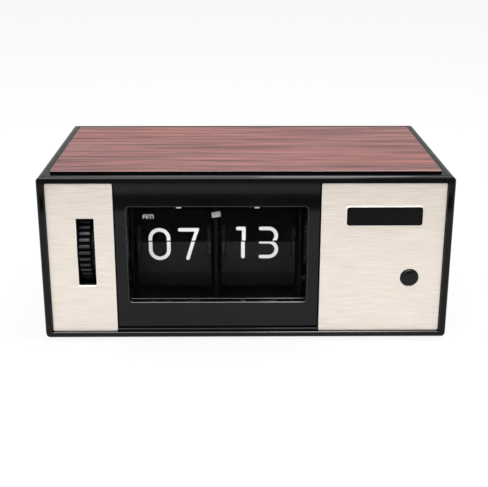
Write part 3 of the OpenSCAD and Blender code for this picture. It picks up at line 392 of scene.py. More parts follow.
# %% Metals
ROUND_X = (1.0, 0.08, 0.08)
finishes |= {
    "trim_metal": worked_metal("champagne_brushed_plate", (0.67, 0.600, 0.530), (0.81, 0.735, 0.665),
                               (0.34, 0.46), (0.05, 1.0, 1.6), scale=1900.0, metallic=0.60),
    # The cut edge's near-white colour: partly bare metal, partly a painted highlight.
    "trim_edge": worked_metal("cut_edge_painted_highlight", (0.88, 0.87, 0.85), (0.96, 0.95, 0.93), (0.30, 0.40),
                              (0.1, 1.0, 1.0), metallic=0.3),
    "screw_steel": worked_metal("zinc_screw", (0.50, 0.50, 0.52), (0.64, 0.64, 0.66), (0.28, 0.42),
                                (1.0, 1.0, 1.0)),
    "sheet_steel": worked_metal("plain_sheet_steel", (0.52, 0.52, 0.54), (0.62, 0.62, 0.64), (0.3, 0.45),
                                (1.0, 1.0, 0.05)),
    "bright_steel": worked_metal("ground_steel", (0.62, 0.62, 0.64), (0.74, 0.74, 0.76), (0.16, 0.28),
                                 ROUND_X),
    "brass": worked_metal("turned_brass", (0.62, 0.43, 0.16), (0.74, 0.55, 0.24), (0.2, 0.34), ROUND_X),
}
print("finishes with the metals:", len(finishes))

# %% [markdown]
# ### Wood grain
# The top is a vinyl veneer with a printed grain. Real wood would show end grain and pores; a print is
# streaks only. Three noises stretched along the width make them: a coarse one for bands, a finer one for
# dark streaks, and the finest for hairs.

# %% Wood grain
GREY_BAND = (0.236, 0.134, 0.132)
RED_BAND = (0.322, 0.132, 0.118)
STREAK = (0.092, 0.048, 0.046)
HAIR = (0.080, 0.042, 0.039)
GRAIN_DEPTH = 0.05 * MM


def wood_veneer():
    """Reddish and greyish bands, dark streaks and finer hairs, all drawn out along X, under a satin film."""
    finish = Finish("wood_grain_veneer", specular=0.15)
    bands = finish.range(finish.noise(40.0, stretch=(0.12, 1.0, 1.0)), 0.36, 0.64, 0.0, 1.0)
    streaks = finish.range(finish.noise(470.0, stretch=(0.035, 1.0, 1.0), shift=(0.3, 0.1, 0.0)),
                           0.46, 0.63, 0.0, 0.85)
    hairs = finish.range(finish.noise(1000.0, stretch=(0.03, 1.0, 1.0), shift=(0.1, 0.7, 0.0)),
                         0.45, 0.66, 0.0, 0.70)
    streaked = finish.blend(streaks, finish.blend(bands, GREY_BAND, RED_BAND), STREAK)
    finish.link(finish.blend(hairs, streaked, HAIR), "Base Color")
    finish.link(finish.range(bands, 0.0, 1.0, 0.38, 0.48), "Roughness")
    finish.relief(hairs, 0.10, GRAIN_DEPTH)
    return finish.material


finishes["wood_grain"] = wood_veneer()
print("finishes with the wood:", len(finishes))

# %% [markdown]
# ### Clear lens
# A lens can be a glass shader, but then the light that falls on the leaves has to be found through it,
# which is slow and dark. A thin sheet hardly bends light, so the shader is left nearly see-through, with a
# faint haze.

# %% Clear lens


def clear_sheet():
    """A see-through sheet whose small opacity and roughness vary like a wiped surface."""
    finish = Finish("clear_lens_sheet", specular=0.5)
    finish.shader.inputs["Base Color"].default_value = (0.03, 0.03, 0.03, 1.0)
    haze = finish.noise(70.0, detail=4.0)
    finish.link(finish.range(haze, *CLOUD_SPAN, 0.008, 0.016), "Alpha")
    finish.link(finish.range(haze, *CLOUD_SPAN, 0.04, 0.10), "Roughness")
    return finish.material


finishes["lens_clear"] = clear_sheet()
print("finishes in all:", len(finishes))

# %% [markdown]
# ### Every node gets its finish
# The record names a material slot for each node, so one loop dresses them all. The node's mesh stays as it
# is. A few nodes have a finish of their own: the lower leaves show the backs of their sheets, the falling
# ones have two faces, and both backs are paler as painted light. The drums are paler below the split, also
# painted light. The packs, drums, shafts and movement plates are duller than the other inner pieces.

# %% Dress the nodes
SPECIAL = {"centre_plate": "drum_plastic", "left_plate": "drum_plastic", "right_plate": "drum_plastic",
           "carry_arbor": "black_steel", "drum_shaft": "black_steel"}
for display in ("hour", "minute"):
    SPECIAL |= {display + "_lower_leaf": "painted_light_leaf", display + "_falling_leaf": "falling_leaf",
                display + "_leaf_pack": "pack_plastic", display + "_drum": "drum_painted_light_below"}
for subpart in frame["record"]["subparts"]:
    node_object = frame["nodes"][subpart["node"]]
    if not node_object.material_slots:
        node_object.data.materials.append(None)
    finish_name = SPECIAL.get(subpart["node"], subpart["material_slot"])
    for material_slot in node_object.material_slots:
        material_slot.material = finishes[finish_name]


def install(piece, finish, body, nodes=()):
    """Gives a new piece its finish and its body, and hides the nodes that it stands for."""
    piece.data.materials.append(finishes[finish])
    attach(piece, body)
    if nodes:
        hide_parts(*nodes)
    return piece


# %% [markdown]
# ## Trim plates
# Each trim plate is thin brushed metal with a bright cut edge all round, also round the slot and the
# button's hole. The edge is a narrow bevel, and the bright line is a second, near-white finish on the bevel's
# faces: partly the bare cut metal, partly a painted highlight.

# %% Left trim plate
EDGE = 0.14
SLOT_EDGE = 0.26
LEFT_GAP = 0.10
TRIM_CORNER = 0.9
SLOT_CORNER = 0.3
BEVEL_SLOPES = (0.3, 0.95)


def bevelled_plate(name, outer, hole, depths, hole_edge):
    """Ring between two outlines given as functions of their growth, with a bevel on both front edges."""
    front, rear = depths
    return skin(name, [
        facing_front(outer(0.0), front + EDGE), facing_front(outer(-EDGE), front),
        facing_front(hole(hole_edge), front), facing_front(hole(0.0), front + hole_edge),
        facing_front(hole(0.0), rear), facing_front(outer(0.0), rear)
    ], ends="ring", smooth_below=10.0)


def face_rows(piece, what):
    """The normals or the centers of a piece's faces, one row each."""
    rows = np.zeros(len(piece.data.polygons) * 3)
    piece.data.polygons.foreach_get(what, rows)
    return rows.reshape(-1, 3)


def brighten_bevels(piece, edge_finish, axis=1):
    """Second finish on the faces whose normal is neither along the axis that the plate faces nor across."""
    piece.data.materials.append(finishes[edge_finish])
    slope = np.abs(face_rows(piece, "normal")[:, axis])
    sloping = (slope > BEVEL_SLOPES[0]) & (slope < BEVEL_SLOPES[1])
    piece.data.polygons.foreach_set("material_index", sloping.astype(int))


def plate_depths(node):
    """Front and rear depth of a node behind the front rim."""
    low, high = node_box(node)
    return low[1] - FRONT_RIM, high[1] - FRONT_RIM


left_low, left_high = node_box("left_trim")
slot_x = np.array([-78.75, -70.45])
slot_z = np.array([27.65, 60.55])
left_plate = bevelled_plate(
    "left_trim_plate",
    lambda grow: round_outline((left_low[0], left_high[0] - LEFT_GAP), (left_low[2], left_high[2]),
                               TRIM_CORNER, grow),
    lambda grow: round_outline(slot_x, slot_z, SLOT_CORNER, grow), plate_depths("left_trim"), SLOT_EDGE)
install(left_plate, "trim_metal", "clock", ["left_trim"])
brighten_bevels(left_plate, "trim_edge")

# %% [markdown]
# The right plate has a round hole. Its outline and its hole need the same number of points, so each point
# of the hole lies in the direction of one point of the outline.

# %% Right trim plate
BUTTON_R = 4.15
BUTTON_GAP = 0.25
HOLE_EDGE = 0.12
RIGHT_GAP = 0.22
right_low, right_high = node_box("right_trim")
button_low, button_high = node_box("button_cap")
button_mid = (button_low + button_high) / 2


def right_outer(grow):
    """Outline of the right plate, with many points on its sides."""
    return round_outline((right_low[0] + RIGHT_GAP, right_high[0]), (right_low[2], right_high[2]),
                         TRIM_CORNER, grow, side=40)


def button_hole(grow):
    """Circle round the button, with each point in the direction of the same point of the plate's outline."""
    away = right_outer(0.0) - button_mid[[0, 2]]
    turn = np.arctan2(away[:, 1], away[:, 0])
    radius = BUTTON_R + BUTTON_GAP + grow
    return np.column_stack((button_mid[0] + radius * np.cos(turn), button_mid[2] + radius * np.sin(turn)))


right_plate = bevelled_plate("right_trim_plate", right_outer, button_hole, plate_depths("right_trim"),
                             HOLE_EDGE)
install(right_plate, "trim_metal", "clock", ["right_trim"])
brighten_bevels(right_plate, "trim_edge")

# %% [markdown]
# ## Window bezel
# The bezel is one polished moulding: a flat frame with a rounded edge round the window, and a tunnel
# behind it that holds the lens behind a small bead. Its section is carried round the window as a ring of
# outlines. The groove round the frame has a dull finish, and its darker black is painted shade.

# %% Window bezel
LIP_R = 0.45
BEAD = 0.22
GROOVE_W = 0.22
GROOVE_D = 0.55
FOOT_H = 2.5
GAP_FILL = 0.3
WINDOW_CORNER = 1.6
BEZEL_CORNER = 0.6
LIP_FLAT = 0.15
TUNNEL_INSIDE = 1.0
TUNNEL_OUTSIDE = 1.8
LIP_STEPS = 6
BESIDE_WINDOW = 3.0
BEHIND_FRONT = 0.05
# Slot of the groove's dull finish, whose darker black is painted shade.
PAINTED_SHADE_SLOT = 2


def window_outline(grow):
    """Outline of the window, grown on every side."""
    return round_outline(window_x, window_z, WINDOW_CORNER, grow)


def bezel_rings():
    """Bead at the lens, tunnel wall, lip (a quarter circle), front, groove, rear and the tunnel's outside."""
    low, high = node_box("window_bezel")
    front, tunnel_end = plate_depths("window_bezel")
    lens_front = plate_depths("window_lens")[0]
    flange = plate_depths("left_trim")[1]
    turn = np.linspace(0.0, np.pi / 2, LIP_STEPS + 1)
    lip = np.column_stack((LIP_R * (1 - np.cos(turn)), front + LIP_R * (1 - np.sin(turn))))

    def outer(grow, foot=0.0, wide=0.0):
        """Outline of the frame, with its foot raised and its sides widened."""
        return round_outline((low[0] - wide, high[0] + wide), (low[2] + foot, high[2]), BEZEL_CORNER, grow)

    rings = [(window_outline(-BEAD), lens_front), (window_outline(0.0), lens_front - BEAD)]
    rings += [(window_outline(grow), depth) for grow, depth in lip]
    rings += [(window_outline(LIP_R + LIP_FLAT), front), (outer(-GROOVE_W, FOOT_H), front),
              (outer(-GROOVE_W, FOOT_H), front + GROOVE_D), (outer(0.0, wide=GAP_FILL), front + GROOVE_D),
              (outer(0.0, wide=GAP_FILL), flange), (window_outline(TUNNEL_OUTSIDE), flange),
              (window_outline(TUNNEL_OUTSIDE), tunnel_end), (window_outline(TUNNEL_INSIDE), tunnel_end),
              (window_outline(TUNNEL_INSIDE), lens_front)]
    return [facing_front(outline, depth) for outline, depth in rings]


bezel = skin("window_bezel_moulding", bezel_rings(), ends="ring", smooth_below=50.0)
install(bezel, "gloss_black", "clock", ["window_bezel"])
brighten_bevels(bezel, "gloss_edge")


def groove_painted_shade():
    """Third finish on the faces behind the front and well outside the window: the groove round the frame.

    Its darker black is painted shade.
    """
    bezel.data.materials.append(finishes["leaf_plastic"])
    x, y, z = face_rows(bezel, "center").T / MM
    beside = np.abs(x - window_x.mean()) > np.ptp(window_x) / 2 + BESIDE_WINDOW
    beyond = np.abs(z - window_z.mean()) > np.ptp(window_z) / 2 + BESIDE_WINDOW
    behind = y > FRONT_RIM + plate_depths("window_bezel")[0] + BEHIND_FRONT
    index = np.zeros(len(bezel.data.polygons), dtype=int)
    bezel.data.polygons.foreach_get("material_index", index)
    bezel.data.polygons.foreach_set("material_index", np.where((beside | beyond) & behind, PAINTED_SHADE_SLOT, index))


groove_painted_shade()

# %% [markdown]
# Below the frame a narrow sill closes the groove, and the case's lower rim has a soft inner edge. Both are
# short sections carried across the front, with a rounded edge that catches the light from above.

# %% Sill and lower rim


def quarter_round(depth, top, across, down, steps=8):
    """Depth and height of a quarter ellipse, from its highest point forwards and down to its foremost."""
    turn = np.linspace(np.pi / 2, 0.0, steps + 1)
    return np.column_stack((depth + across * (1 - np.cos(turn)), top - down * (1 - np.sin(turn))))


def across_front(name, section, x):
    """A closed section of depth and height, carried from one place to another across the front."""
    rings = [np.column_stack((np.full(len(section), place), FRONT_RIM + section[:, 0], section[:, 1]))
             for place in x]
    return skin(name, rings)


SILL_H = 1.4
SILL_BACK = 0.15
SILL_ROUND = 0.35
RIM_DROP = 0.2
RIM_RISE = 0.3
RIM_DEPTH = 0.5
RIM_BACK = 0.02
RIM_SUNK = 0.05
INNER_HALF_W = 92.3
bezel_low, bezel_high = node_box("window_bezel")
bezel_front = plate_depths("window_bezel")[0]
sill_top = bezel_low[2] + SILL_H
sill_front = bezel_front + SILL_BACK
sill_rear = bezel_front + GROOVE_D
sill_section = np.concatenate((
    quarter_round(sill_front, sill_top, SILL_ROUND, SILL_ROUND),
    [[sill_front, bezel_low[2]], [sill_rear, bezel_low[2]], [sill_rear, sill_top]]))
sill = across_front("bezel_sill", sill_section, (bezel_low[0], bezel_high[0]))
install(sill, "gloss_black", "clock")

rim_inside = bezel_low[2] - RIM_DROP
rim_foot = rim_inside - RIM_SUNK
rim_section = np.concatenate((
    quarter_round(RIM_BACK, rim_inside + RIM_RISE, RIM_DEPTH, RIM_RISE),
    [[RIM_BACK, rim_foot], [RIM_BACK + RIM_DEPTH, rim_foot]]))
rim_lip = across_front("lower_rim_lip", rim_section, (-INNER_HALF_W, INNER_HALF_W))
install(rim_lip, "gloss_edge", "clock")

# %% [markdown]
# ## Name plate
# The plate at the upper right is a small black tile with a bright rim. Its field is plain. The rim is a
# ring whose section is a low ridge, and the field is a thin slab inside it.

# %% Name plate
BADGE_CORNER = 1.5
RIDGE_W = 0.26
RIDGE_EASE = 0.08
RIDGE_OUTER_D = 0.18
RIDGE_INNER_D = 0.15
FIELD_INSET = RIDGE_W + 0.01
FIELD_EASE = 0.04
FIELD_D = 0.10
badge_low, badge_high = node_box("badge_plate")
badge_front, badge_rear = plate_depths("badge_plate")


def badge_ring(grow, depth):
    """Outline of the name plate, grown on every side, at a depth."""
    x, z = (badge_low[0], badge_high[0]), (badge_low[2], badge_high[2])
    return facing_front(round_outline(x, z, BADGE_CORNER, grow), depth)


rim = skin("badge_rim", [badge_ring(grow, depth) for grow, depth in (
    (0.0, badge_rear), (0.0, badge_front + RIDGE_OUTER_D),
    (-RIDGE_EASE, badge_front), (-RIDGE_W + RIDGE_EASE, badge_front),
    (-RIDGE_W, badge_front + RIDGE_INNER_D), (-RIDGE_W, badge_rear))], ends="ring")
# The rim's near-white finish is partly bright metal and partly a painted highlight.
install(rim, "trim_edge", "clock")
field = skin("badge_field", [badge_ring(grow, depth) for grow, depth in (
    (-FIELD_INSET, badge_rear), (-FIELD_INSET, badge_front + FIELD_D + FIELD_EASE),
    (-FIELD_INSET - FIELD_EASE, badge_front + FIELD_D))])
install(field, "badge_black", "clock", ["badge_plate"])

# %% [markdown]
# ## Top panel
# The panel is a black board with a veneer on it. Two slabs stand for them: the board shows as a dark line
# at the front edge, and the veneer's own edge is eased, with a paler colour on it that is a painted highlight
# for the thin line of light that it catches.

# %% Top panel
PANEL_CORNER = 1.0
VENEER = 0.25
BOARD_EASE = 0.1
VENEER_INSET = 0.05
VENEER_EASE_W = 0.20
VENEER_EASE_H = 0.1
panel_low, panel_high = node_box("top_panel")
board_top = panel_high[2] - VENEER


def panel_ring(grow, height):
    """Outline of the panel across and backwards, grown on every side, at a height."""
    x, y = (panel_low[0], panel_high[0]), (panel_low[1], panel_high[1])
    return facing_up(round_outline(x, y, PANEL_CORNER, grow), height)


board = skin("top_board", [panel_ring(0.0, panel_low[2]), panel_ring(0.0, board_top - BOARD_EASE),
                           panel_ring(-BOARD_EASE, board_top)])
install(board, "leaf_plastic", "clock", ["top_panel"])
veneer = skin("top_veneer", [panel_ring(-VENEER_INSET, board_top),
                             panel_ring(-VENEER_INSET, panel_high[2] - VENEER_EASE_H),
                             panel_ring(-VENEER_EASE_W, panel_high[2])], smooth_below=10.0)
install(veneer, "wood_grain", "clock")
# The eased edge gets the paler colour of the painted highlight.
brighten_bevels(veneer, "veneer_painted_highlight", axis=2)

# %% [markdown]
# ## Thumbwheel
# The wheel is turned by a fingertip, so it has thirty-six ribs. The rib is a wave round the rim, flattened
# at its top and bottom. The same wave is carried across the wheel's width and fades out at both sides,
# where the rim is eased.

# %% Thumbwheel
WHEEL_R = 18.0
BORE_R = 2.05
HUB_R = 5.0
TYRE_R = 14.0
WEB_DROP = 1.0
WEB_SLOPE = 0.2
RIBS = 36
RIB_H = 1.2
RIB_SHIFT = np.radians(-1.75)
RIB_LEVEL = 0.8
RIB_STEEPNESS = 1.8
# Share of the rib's height, from its top, below which the grooves take painted shade.
PAINTED_SHADE_FROM = 0.55
POINTS_PER_RIB = 12
EASING = ((0.0, 0.5, 0.0), (0.15, 0.1, 0.55), (0.45, 0.0, 0.9), (0.8, 0.0, 1.0))
wheel_low, wheel_high = node_box("thumbwheel")
wheel_mid = (wheel_low + wheel_high) / 2


def wheel_ring(x, radius, rib=0.0):
    """Ring about the wheel's axis: a circle plus the rib wave, a cosine clipped to a flat top and foot."""
    turn = np.linspace(0.0, 2 * np.pi, RIBS * POINTS_PER_RIB, endpoint=False)
    wave = np.clip(RIB_LEVEL + RIB_STEEPNESS * np.cos(RIBS * (turn - RIB_SHIFT)), 0.0, 1.0)
    reach = radius + rib * wave
    return np.column_stack((np.full(len(turn), x), wheel_mid[1] + reach * np.cos(turn),
                            wheel_mid[2] + reach * np.sin(turn)))


def eased_rim(face, inwards):
    """Rings from a face of the wheel to its full ribs.

    Each step of the easing has an inset, a drop in radius and a share of the rib.
    """
    return [wheel_ring(face + inwards * inset, WHEEL_R - RIB_H - drop, RIB_H * share)
            for inset, drop, share in EASING]


left_face, right_face = wheel_low[0], wheel_high[0]
web_face = left_face + WEB_DROP
wheel_rings = [wheel_ring(right_face, BORE_R), wheel_ring(left_face, BORE_R), wheel_ring(left_face, HUB_R),
               wheel_ring(web_face, HUB_R + WEB_SLOPE), wheel_ring(web_face, TYRE_R - WEB_SLOPE),
               wheel_ring(left_face, TYRE_R)]
wheel_rings += eased_rim(left_face, 1) + eased_rim(right_face, -1)[::-1]
wheel = skin("ribbed_thumbwheel", wheel_rings, ends="ring", smooth_below=40.0)
install(wheel, "wheel_plastic", "thumbwheel", ["thumbwheel"])
# Painted shade: faces deep between the ribs take the much darker leaf black, for the shade in the grooves.
wheel.data.materials.append(finishes["leaf_plastic"])
from_axis = np.linalg.norm(face_rows(wheel, "center")[:, 1:] / MM - wheel_mid[1:], axis=1)
wheel.data.polygons.foreach_set("material_index", (from_axis < WHEEL_R - PAINTED_SHADE_FROM * RIB_H).astype(int))

# %% [markdown]
# ## Push-button
# A button is a turned shape: a profile of radius against depth, carried round its axis. The dome is a
# shallow arc, its edge is eased, and the flange behind the front keeps it from falling out.

# %% Push-button
FLANGE_FRONT = 5.0
FLANGE_REAR = 6.0
FLANGE_R = BUTTON_R + 1.2
STEM_R = 1.5
DOME_EDGE = 3.2
DOME_H = 0.25
DOME_STEPS = 7
EASE_H = 0.85
EASE_STEPS = 8
button_front, button_rear = plate_depths("button_cap")


def button_profile():
    """Radius and depth: a shallow parabola, a quarter ellipse for its edge, a side, a flange and a stem."""
    across = np.linspace(0.0, DOME_EDGE, DOME_STEPS, endpoint=False)
    dome = np.column_stack((across, button_front + DOME_H * (across / DOME_EDGE) ** 2))
    turn = np.linspace(0.0, np.pi / 2, EASE_STEPS + 1)
    edge = np.column_stack((DOME_EDGE + (BUTTON_R - DOME_EDGE) * np.sin(turn),
                            button_front + DOME_H + EASE_H * (1 - np.cos(turn))))
    side = np.array([[BUTTON_R, FLANGE_FRONT], [FLANGE_R, FLANGE_FRONT], [FLANGE_R, FLANGE_REAR],
                     [STEM_R, FLANGE_REAR], [STEM_R, button_rear], [0.0, button_rear]])
    return np.concatenate((dome, edge, side))


def turned_about_depth(profile, centre, points=64):
    """Rings of a profile of radius and depth about an axis that runs backwards."""
    turn = np.linspace(0.0, 2 * np.pi, points, endpoint=False)
    radius, depth = profile[:, :1], profile[:, 1:]
    return np.stack((centre[0] + radius * np.cos(turn), FRONT_RIM + depth + 0.0 * turn,
                     centre[2] + radius * np.sin(turn)), axis=-1)


button = skin("domed_button", turned_about_depth(button_profile(), button_mid), ends="poles")
install(button, "gloss_black", "button", ["button_cap"])

# %% [markdown]
# ## Printed figures
# A figure is printed over two leaves: its upper half on the leaf above the split, its lower half on the
# leaf below. A text object would need a font with the right shapes. Here each half is made of closed
# outlines of straight lines and arcs, laid on the leaf's own plane as a film a few hundredths of a
# millimetre thick.

# %% Strokes
STROKE = 1.80
HALF = STROKE / 2


def arc(centre, radius, start, stop, steps=20):
    """Points of a circle's arc between two angles in degrees."""
    turn = np.radians(np.linspace(start, stop, steps + 1))
    return np.column_stack((centre[0] + radius * np.cos(turn), centre[1] + radius * np.sin(turn)))


def line(*points):
    """Corner points as an array."""
    return np.array(points, dtype=float)


def arch(x, foot, top, radius, half=HALF, way=1):
    """Band bent over a half circle with two straight legs; way -1 turns it upside down."""
    bend = top - way * radius
    outer = arc((x, bend), radius + half, 0, 180 * way)
    inner = arc((x, bend), radius - half, 180 * way, 0)
    return np.concatenate((line((x + radius + half, foot)), outer, line((x - radius - half, foot)),
                           line((x - radius + half, foot)), inner, line((x + radius - half, foot))))


# %% [markdown]
# The halves of the figures are put together from these strokes. The split cuts them flat, a little above
# its own height and a little below it. Heights are measured from the split.

# %% Halves of the figures
UPPER_CUT = 0.25
LOWER_TOP = -0.45
CORNER = 0.6
BAR_END_X = 0.6
BAR_END_DROP = 0.55
BAR_END_R = 0.5
BAR_CUT_X = 0.3
SLANT_W = 2.2
SLANT_RUN = 3.0
FOUR_FOOT = 1.9
FOUR_INSIDE = 2.6


def flag_and_stem(left, stem, top, lean=0.0):
    """A bar with a round left end on a stem that is cut at the split; lean is the stem's run per rise."""
    right_top = stem + HALF + lean * (top + HALF)
    under = top - HALF
    slant = np.degrees(np.arctan(lean))
    inset = CORNER / np.tan(np.radians(45.0 - slant / 2))
    return np.concatenate((arc((left + HALF, top), HALF, 270, 90),
                           arc((right_top - inset, top + HALF - CORNER), CORNER, 90, -slant, steps=6),
                           line((stem + HALF, UPPER_CUT), (stem - HALF, UPPER_CUT),
                                (stem - HALF + lean * under, under))))


def rounded_foot(top_x, foot_x, foot):
    """The lower part of a stem, from the split down to a round end."""
    return np.concatenate((line((top_x - HALF, LOWER_TOP)), arc((foot_x, foot), HALF, 180, 360),
                           line((top_x + HALF, LOWER_TOP))))


def cut_angle(centre, radius, height):
    """Angle in degrees at which a circle about a height meets another height, on its right side."""
    return np.degrees(np.arcsin((height - centre) / radius))


def three_upper(left, bowl_x, top, radius):
    """Top bar of the three and its bowl down to the split."""
    centre = top - radius
    outer_r, inner_r = radius + HALF, radius - HALF
    return np.concatenate((arc((left + HALF, top), HALF, 270, 90),
                           arc((bowl_x, centre), outer_r, 90, cut_angle(centre, outer_r, UPPER_CUT)),
                           arc((bowl_x, centre), inner_r, cut_angle(centre, inner_r, UPPER_CUT), 90)))


def three_lower(left, bowl_x, foot, radius):
    """Middle bar of the three, which the split cuts, the lower bowl and the bottom bar with a round end."""
    centre = foot + radius
    outer_r, inner_r = radius + HALF, radius - HALF
    return np.concatenate((line((left + BAR_CUT_X, LOWER_TOP)),
                           arc((bowl_x, centre), outer_r, cut_angle(centre, outer_r, LOWER_TOP), -90,
                               steps=28),
                           arc((left + HALF, foot), HALF, 270, 90), arc((bowl_x, centre), inner_r, -90, 90),
                           arc((left + BAR_END_X, LOWER_TOP - BAR_END_DROP), BAR_END_R, 270, 180, steps=4)))


def upper_loop(x, top, radius):
    """The part of the eight's upper ring that is above the split."""
    centre = top - radius
    outer_r, inner_r = radius + HALF, radius - HALF
    outer_cut, inner_cut = cut_angle(centre, outer_r, UPPER_CUT), cut_angle(centre, inner_r, UPPER_CUT)
    return np.concatenate((arc((x, centre), outer_r, outer_cut, 180 - outer_cut, steps=40),
                           arc((x, centre), inner_r, 180 - inner_cut, inner_cut, steps=40)))


def lower_loop_side(x, foot, radius, side):
    """One side of the eight's lower ring, cut flat on top by the split: 1 is the right side, -1 the left."""
    centre = foot + radius
    outer_r, inner_r = radius + HALF, radius - HALF
    right = np.concatenate((line((0.0, LOWER_TOP)),
                            arc((0.0, centre), outer_r, cut_angle(centre, outer_r, LOWER_TOP), -90, steps=28),
                            arc((0.0, centre), inner_r, -90, 90, steps=28)))
    return right * np.array([side, 1.0]) + np.array([x, 0.0])


def four_lower(left, stem, foot):
    """Foot of the slanting stroke and the crossbar of the four, with a gap left for the stem."""
    bar = foot / 2
    return line((left + FOUR_FOOT, LOWER_TOP), (left, bar + HALF), (left, bar - HALF),
                (stem - HALF, bar - HALF), (stem - HALF, bar + HALF), (left + FOUR_INSIDE, bar + HALF),
                (left + FOUR_FOOT + SLANT_W, LOWER_TOP))


def four_upper(left, top):
    """The slanting stroke of the four above the split."""
    foot, head = left + SLANT_W, left + SLANT_W + SLANT_RUN
    return line((foot, UPPER_CUT), (foot + SLANT_W, UPPER_CUT), (head + SLANT_W, top + HALF),
                (head, top + HALF))


# %% [markdown]
# The planes of the leaves come next. The leaf above the split leans back two degrees about its pins, and
# the one below hangs two degrees forward. The film for the figure that shows after a fall is on the
# falling leaf's back, upside down, so that it reads upright once the leaf has turned over.

# %% Planes of the leaves
LEAF_T = 0.2
INK = 0.035
INK_SUNK = 0.02
PACK_PIN_DEPTH = 24.957
PIN_STEP = 0.4
STANDING_UP = np.array([0.0, np.sin(LEAN), np.cos(LEAN)])
HANGING_UP = np.array([0.0, -np.sin(LEAN), np.cos(LEAN)])
HANGING_FRONT = np.array([0.0, -np.cos(LEAN), -np.sin(LEAN)])
next_pin = np.array([0.0, FRONT_RIM + PACK_PIN_DEPTH, SPLIT_Z + PIN_STEP])
hanging_pin = np.array([0.0, FRONT_RIM + PACK_PIN_DEPTH, SPLIT_Z - PIN_STEP])


def printed(name, outline, pin, up, front, body, shift=0.0):
    """Film over an outline of x and height: pin + x across + (height - shift) * up + lift * front."""
    height = (outline[:, 1:] - shift) * up
    flat = pin + height + outline[:, :1] * np.array([1.0, 0.0, 0.0])
    rings = [flat + lift * front for lift in (LEAF_T / 2 - INK_SUNK, LEAF_T / 2 + INK)]
    return install(skin(name, rings, smooth_below=30.0), "printed_figure", body)


def print_upper(name, outline, body):
    """Upper half on a falling leaf's front."""
    return printed(name, outline, falling_pin, STANDING_UP, STANDING_FRONT, body)


def print_next(name, outline):
    """Upper half on the leaf that stands behind the falling one."""
    return printed(name, outline, next_pin, STANDING_UP, STANDING_FRONT, "clock", PIN_STEP)


def print_lower(name, outline):
    """Lower half on the leaf that hangs below the split."""
    return printed(name, outline, hanging_pin, HANGING_UP, HANGING_FRONT, "clock", -PIN_STEP)


def print_back(name, outline, body):
    """Lower half of the next figure on a falling leaf's back, mirrored about the pins."""
    return printed(name, outline * np.array([1.0, -1.0]), falling_pin, STANDING_UP, -STANDING_FRONT, body)


# %% [markdown]
# The time that shows is seven hours and thirteen minutes, with a nought before the seven.

# %% Print the figures that show
HOUR_TOP = 5.75
HOUR_FOOT = -9.18
MINUTE_TOP = 6.35
MINUTE_FOOT = -8.40
ZERO_X = -42.105
ZERO_R = 4.45
SEVEN_LEFT = -32.94
SEVEN_LEAN = 0.329
SEVEN_AT_SPLIT = -25.54
SEVEN_FOOT = -28.35
ONE_LEFT = -4.66
ONE_STEM = -0.85
ONE_FOOT = -1.26
THREE_LEFT = 6.50
THREE_BOWL = 11.26
UPPER_R = 3.74
LOWER_R = 3.89
zero_upper = arch(ZERO_X, UPPER_CUT, HOUR_TOP, ZERO_R)
zero_lower = arch(ZERO_X, LOWER_TOP, HOUR_FOOT, ZERO_R, way=-1)
one_upper = flag_and_stem(ONE_LEFT, ONE_STEM, MINUTE_TOP)
one_lower = rounded_foot(ONE_FOOT, ONE_FOOT, MINUTE_FOOT)
print_upper("hour_tens_upper", zero_upper, "hour_leaf")
print_lower("hour_tens_lower", zero_lower)
print_upper("hour_units_upper", flag_and_stem(SEVEN_LEFT, SEVEN_AT_SPLIT, HOUR_TOP, SEVEN_LEAN), "hour_leaf")
print_lower("hour_units_lower", rounded_foot(SEVEN_AT_SPLIT + SEVEN_LEAN * LOWER_TOP, SEVEN_FOOT, HOUR_FOOT))
print_upper("minute_tens_upper", one_upper, "minute_leaf")
print_lower("minute_tens_lower", one_lower)
print_upper("minute_units_upper", three_upper(THREE_LEFT, THREE_BOWL, MINUTE_TOP, UPPER_R), "minute_leaf")
print_lower("minute_units_lower", three_lower(THREE_LEFT, THREE_BOWL, MINUTE_FOOT, LOWER_R))

# %% [markdown]
# Two small letters over the hour say which half of the day it is. They are thin bands bent over half
# circles, as the figures are: one arch with a bar across it, and two arches side by side.

# %% Print the half of the day
SMALL_HALF = 0.21
MARK_FOOT = 11.35
MARK_TOP = 13.40
MARK_BAR = 1.0
HOOK_OUTER = 125
HOOK_INNER = 165


def mark_arch(x, radius):
    """A narrow arch between the foot and the top of the small letters."""
    return arch(x, MARK_FOOT, MARK_TOP, radius, SMALL_HALF)


def mark_hook(x, radius):
    """An arch without its left leg, which leans on the arch beside it."""
    bend = MARK_TOP - radius
    return np.concatenate((line((x + radius + SMALL_HALF, MARK_FOOT)),
                           arc((x, bend), radius + SMALL_HALF, 0, HOOK_OUTER),
                           arc((x, bend), radius - SMALL_HALF, HOOK_INNER, 0),
                           line((x + radius - SMALL_HALF, MARK_FOOT))))


def mark_bar(x, half_length, height):
    """A short bar across an arch."""
    return line((x - half_length, height - SMALL_HALF), (x + half_length, height - SMALL_HALF),
                (x + half_length, height + SMALL_HALF), (x - half_length, height + SMALL_HALF))


A_X, A_R = -48.99, 0.84
M_X, M_R = (-46.83, -45.55), 0.64
print_upper("half_day_first", mark_arch(A_X, A_R), "hour_leaf")
print_upper("half_day_bar", mark_bar(A_X, A_R - SMALL_HALF, MARK_FOOT + MARK_BAR), "hour_leaf")
print_upper("half_day_second", mark_arch(M_X[0], M_R), "hour_leaf")
print_upper("half_day_third", mark_hook(M_X[1], M_R), "hour_leaf")

# %% [markdown]
# The next time is printed too, behind the falling leaves and on their backs, so that it shows when they
# have fallen.

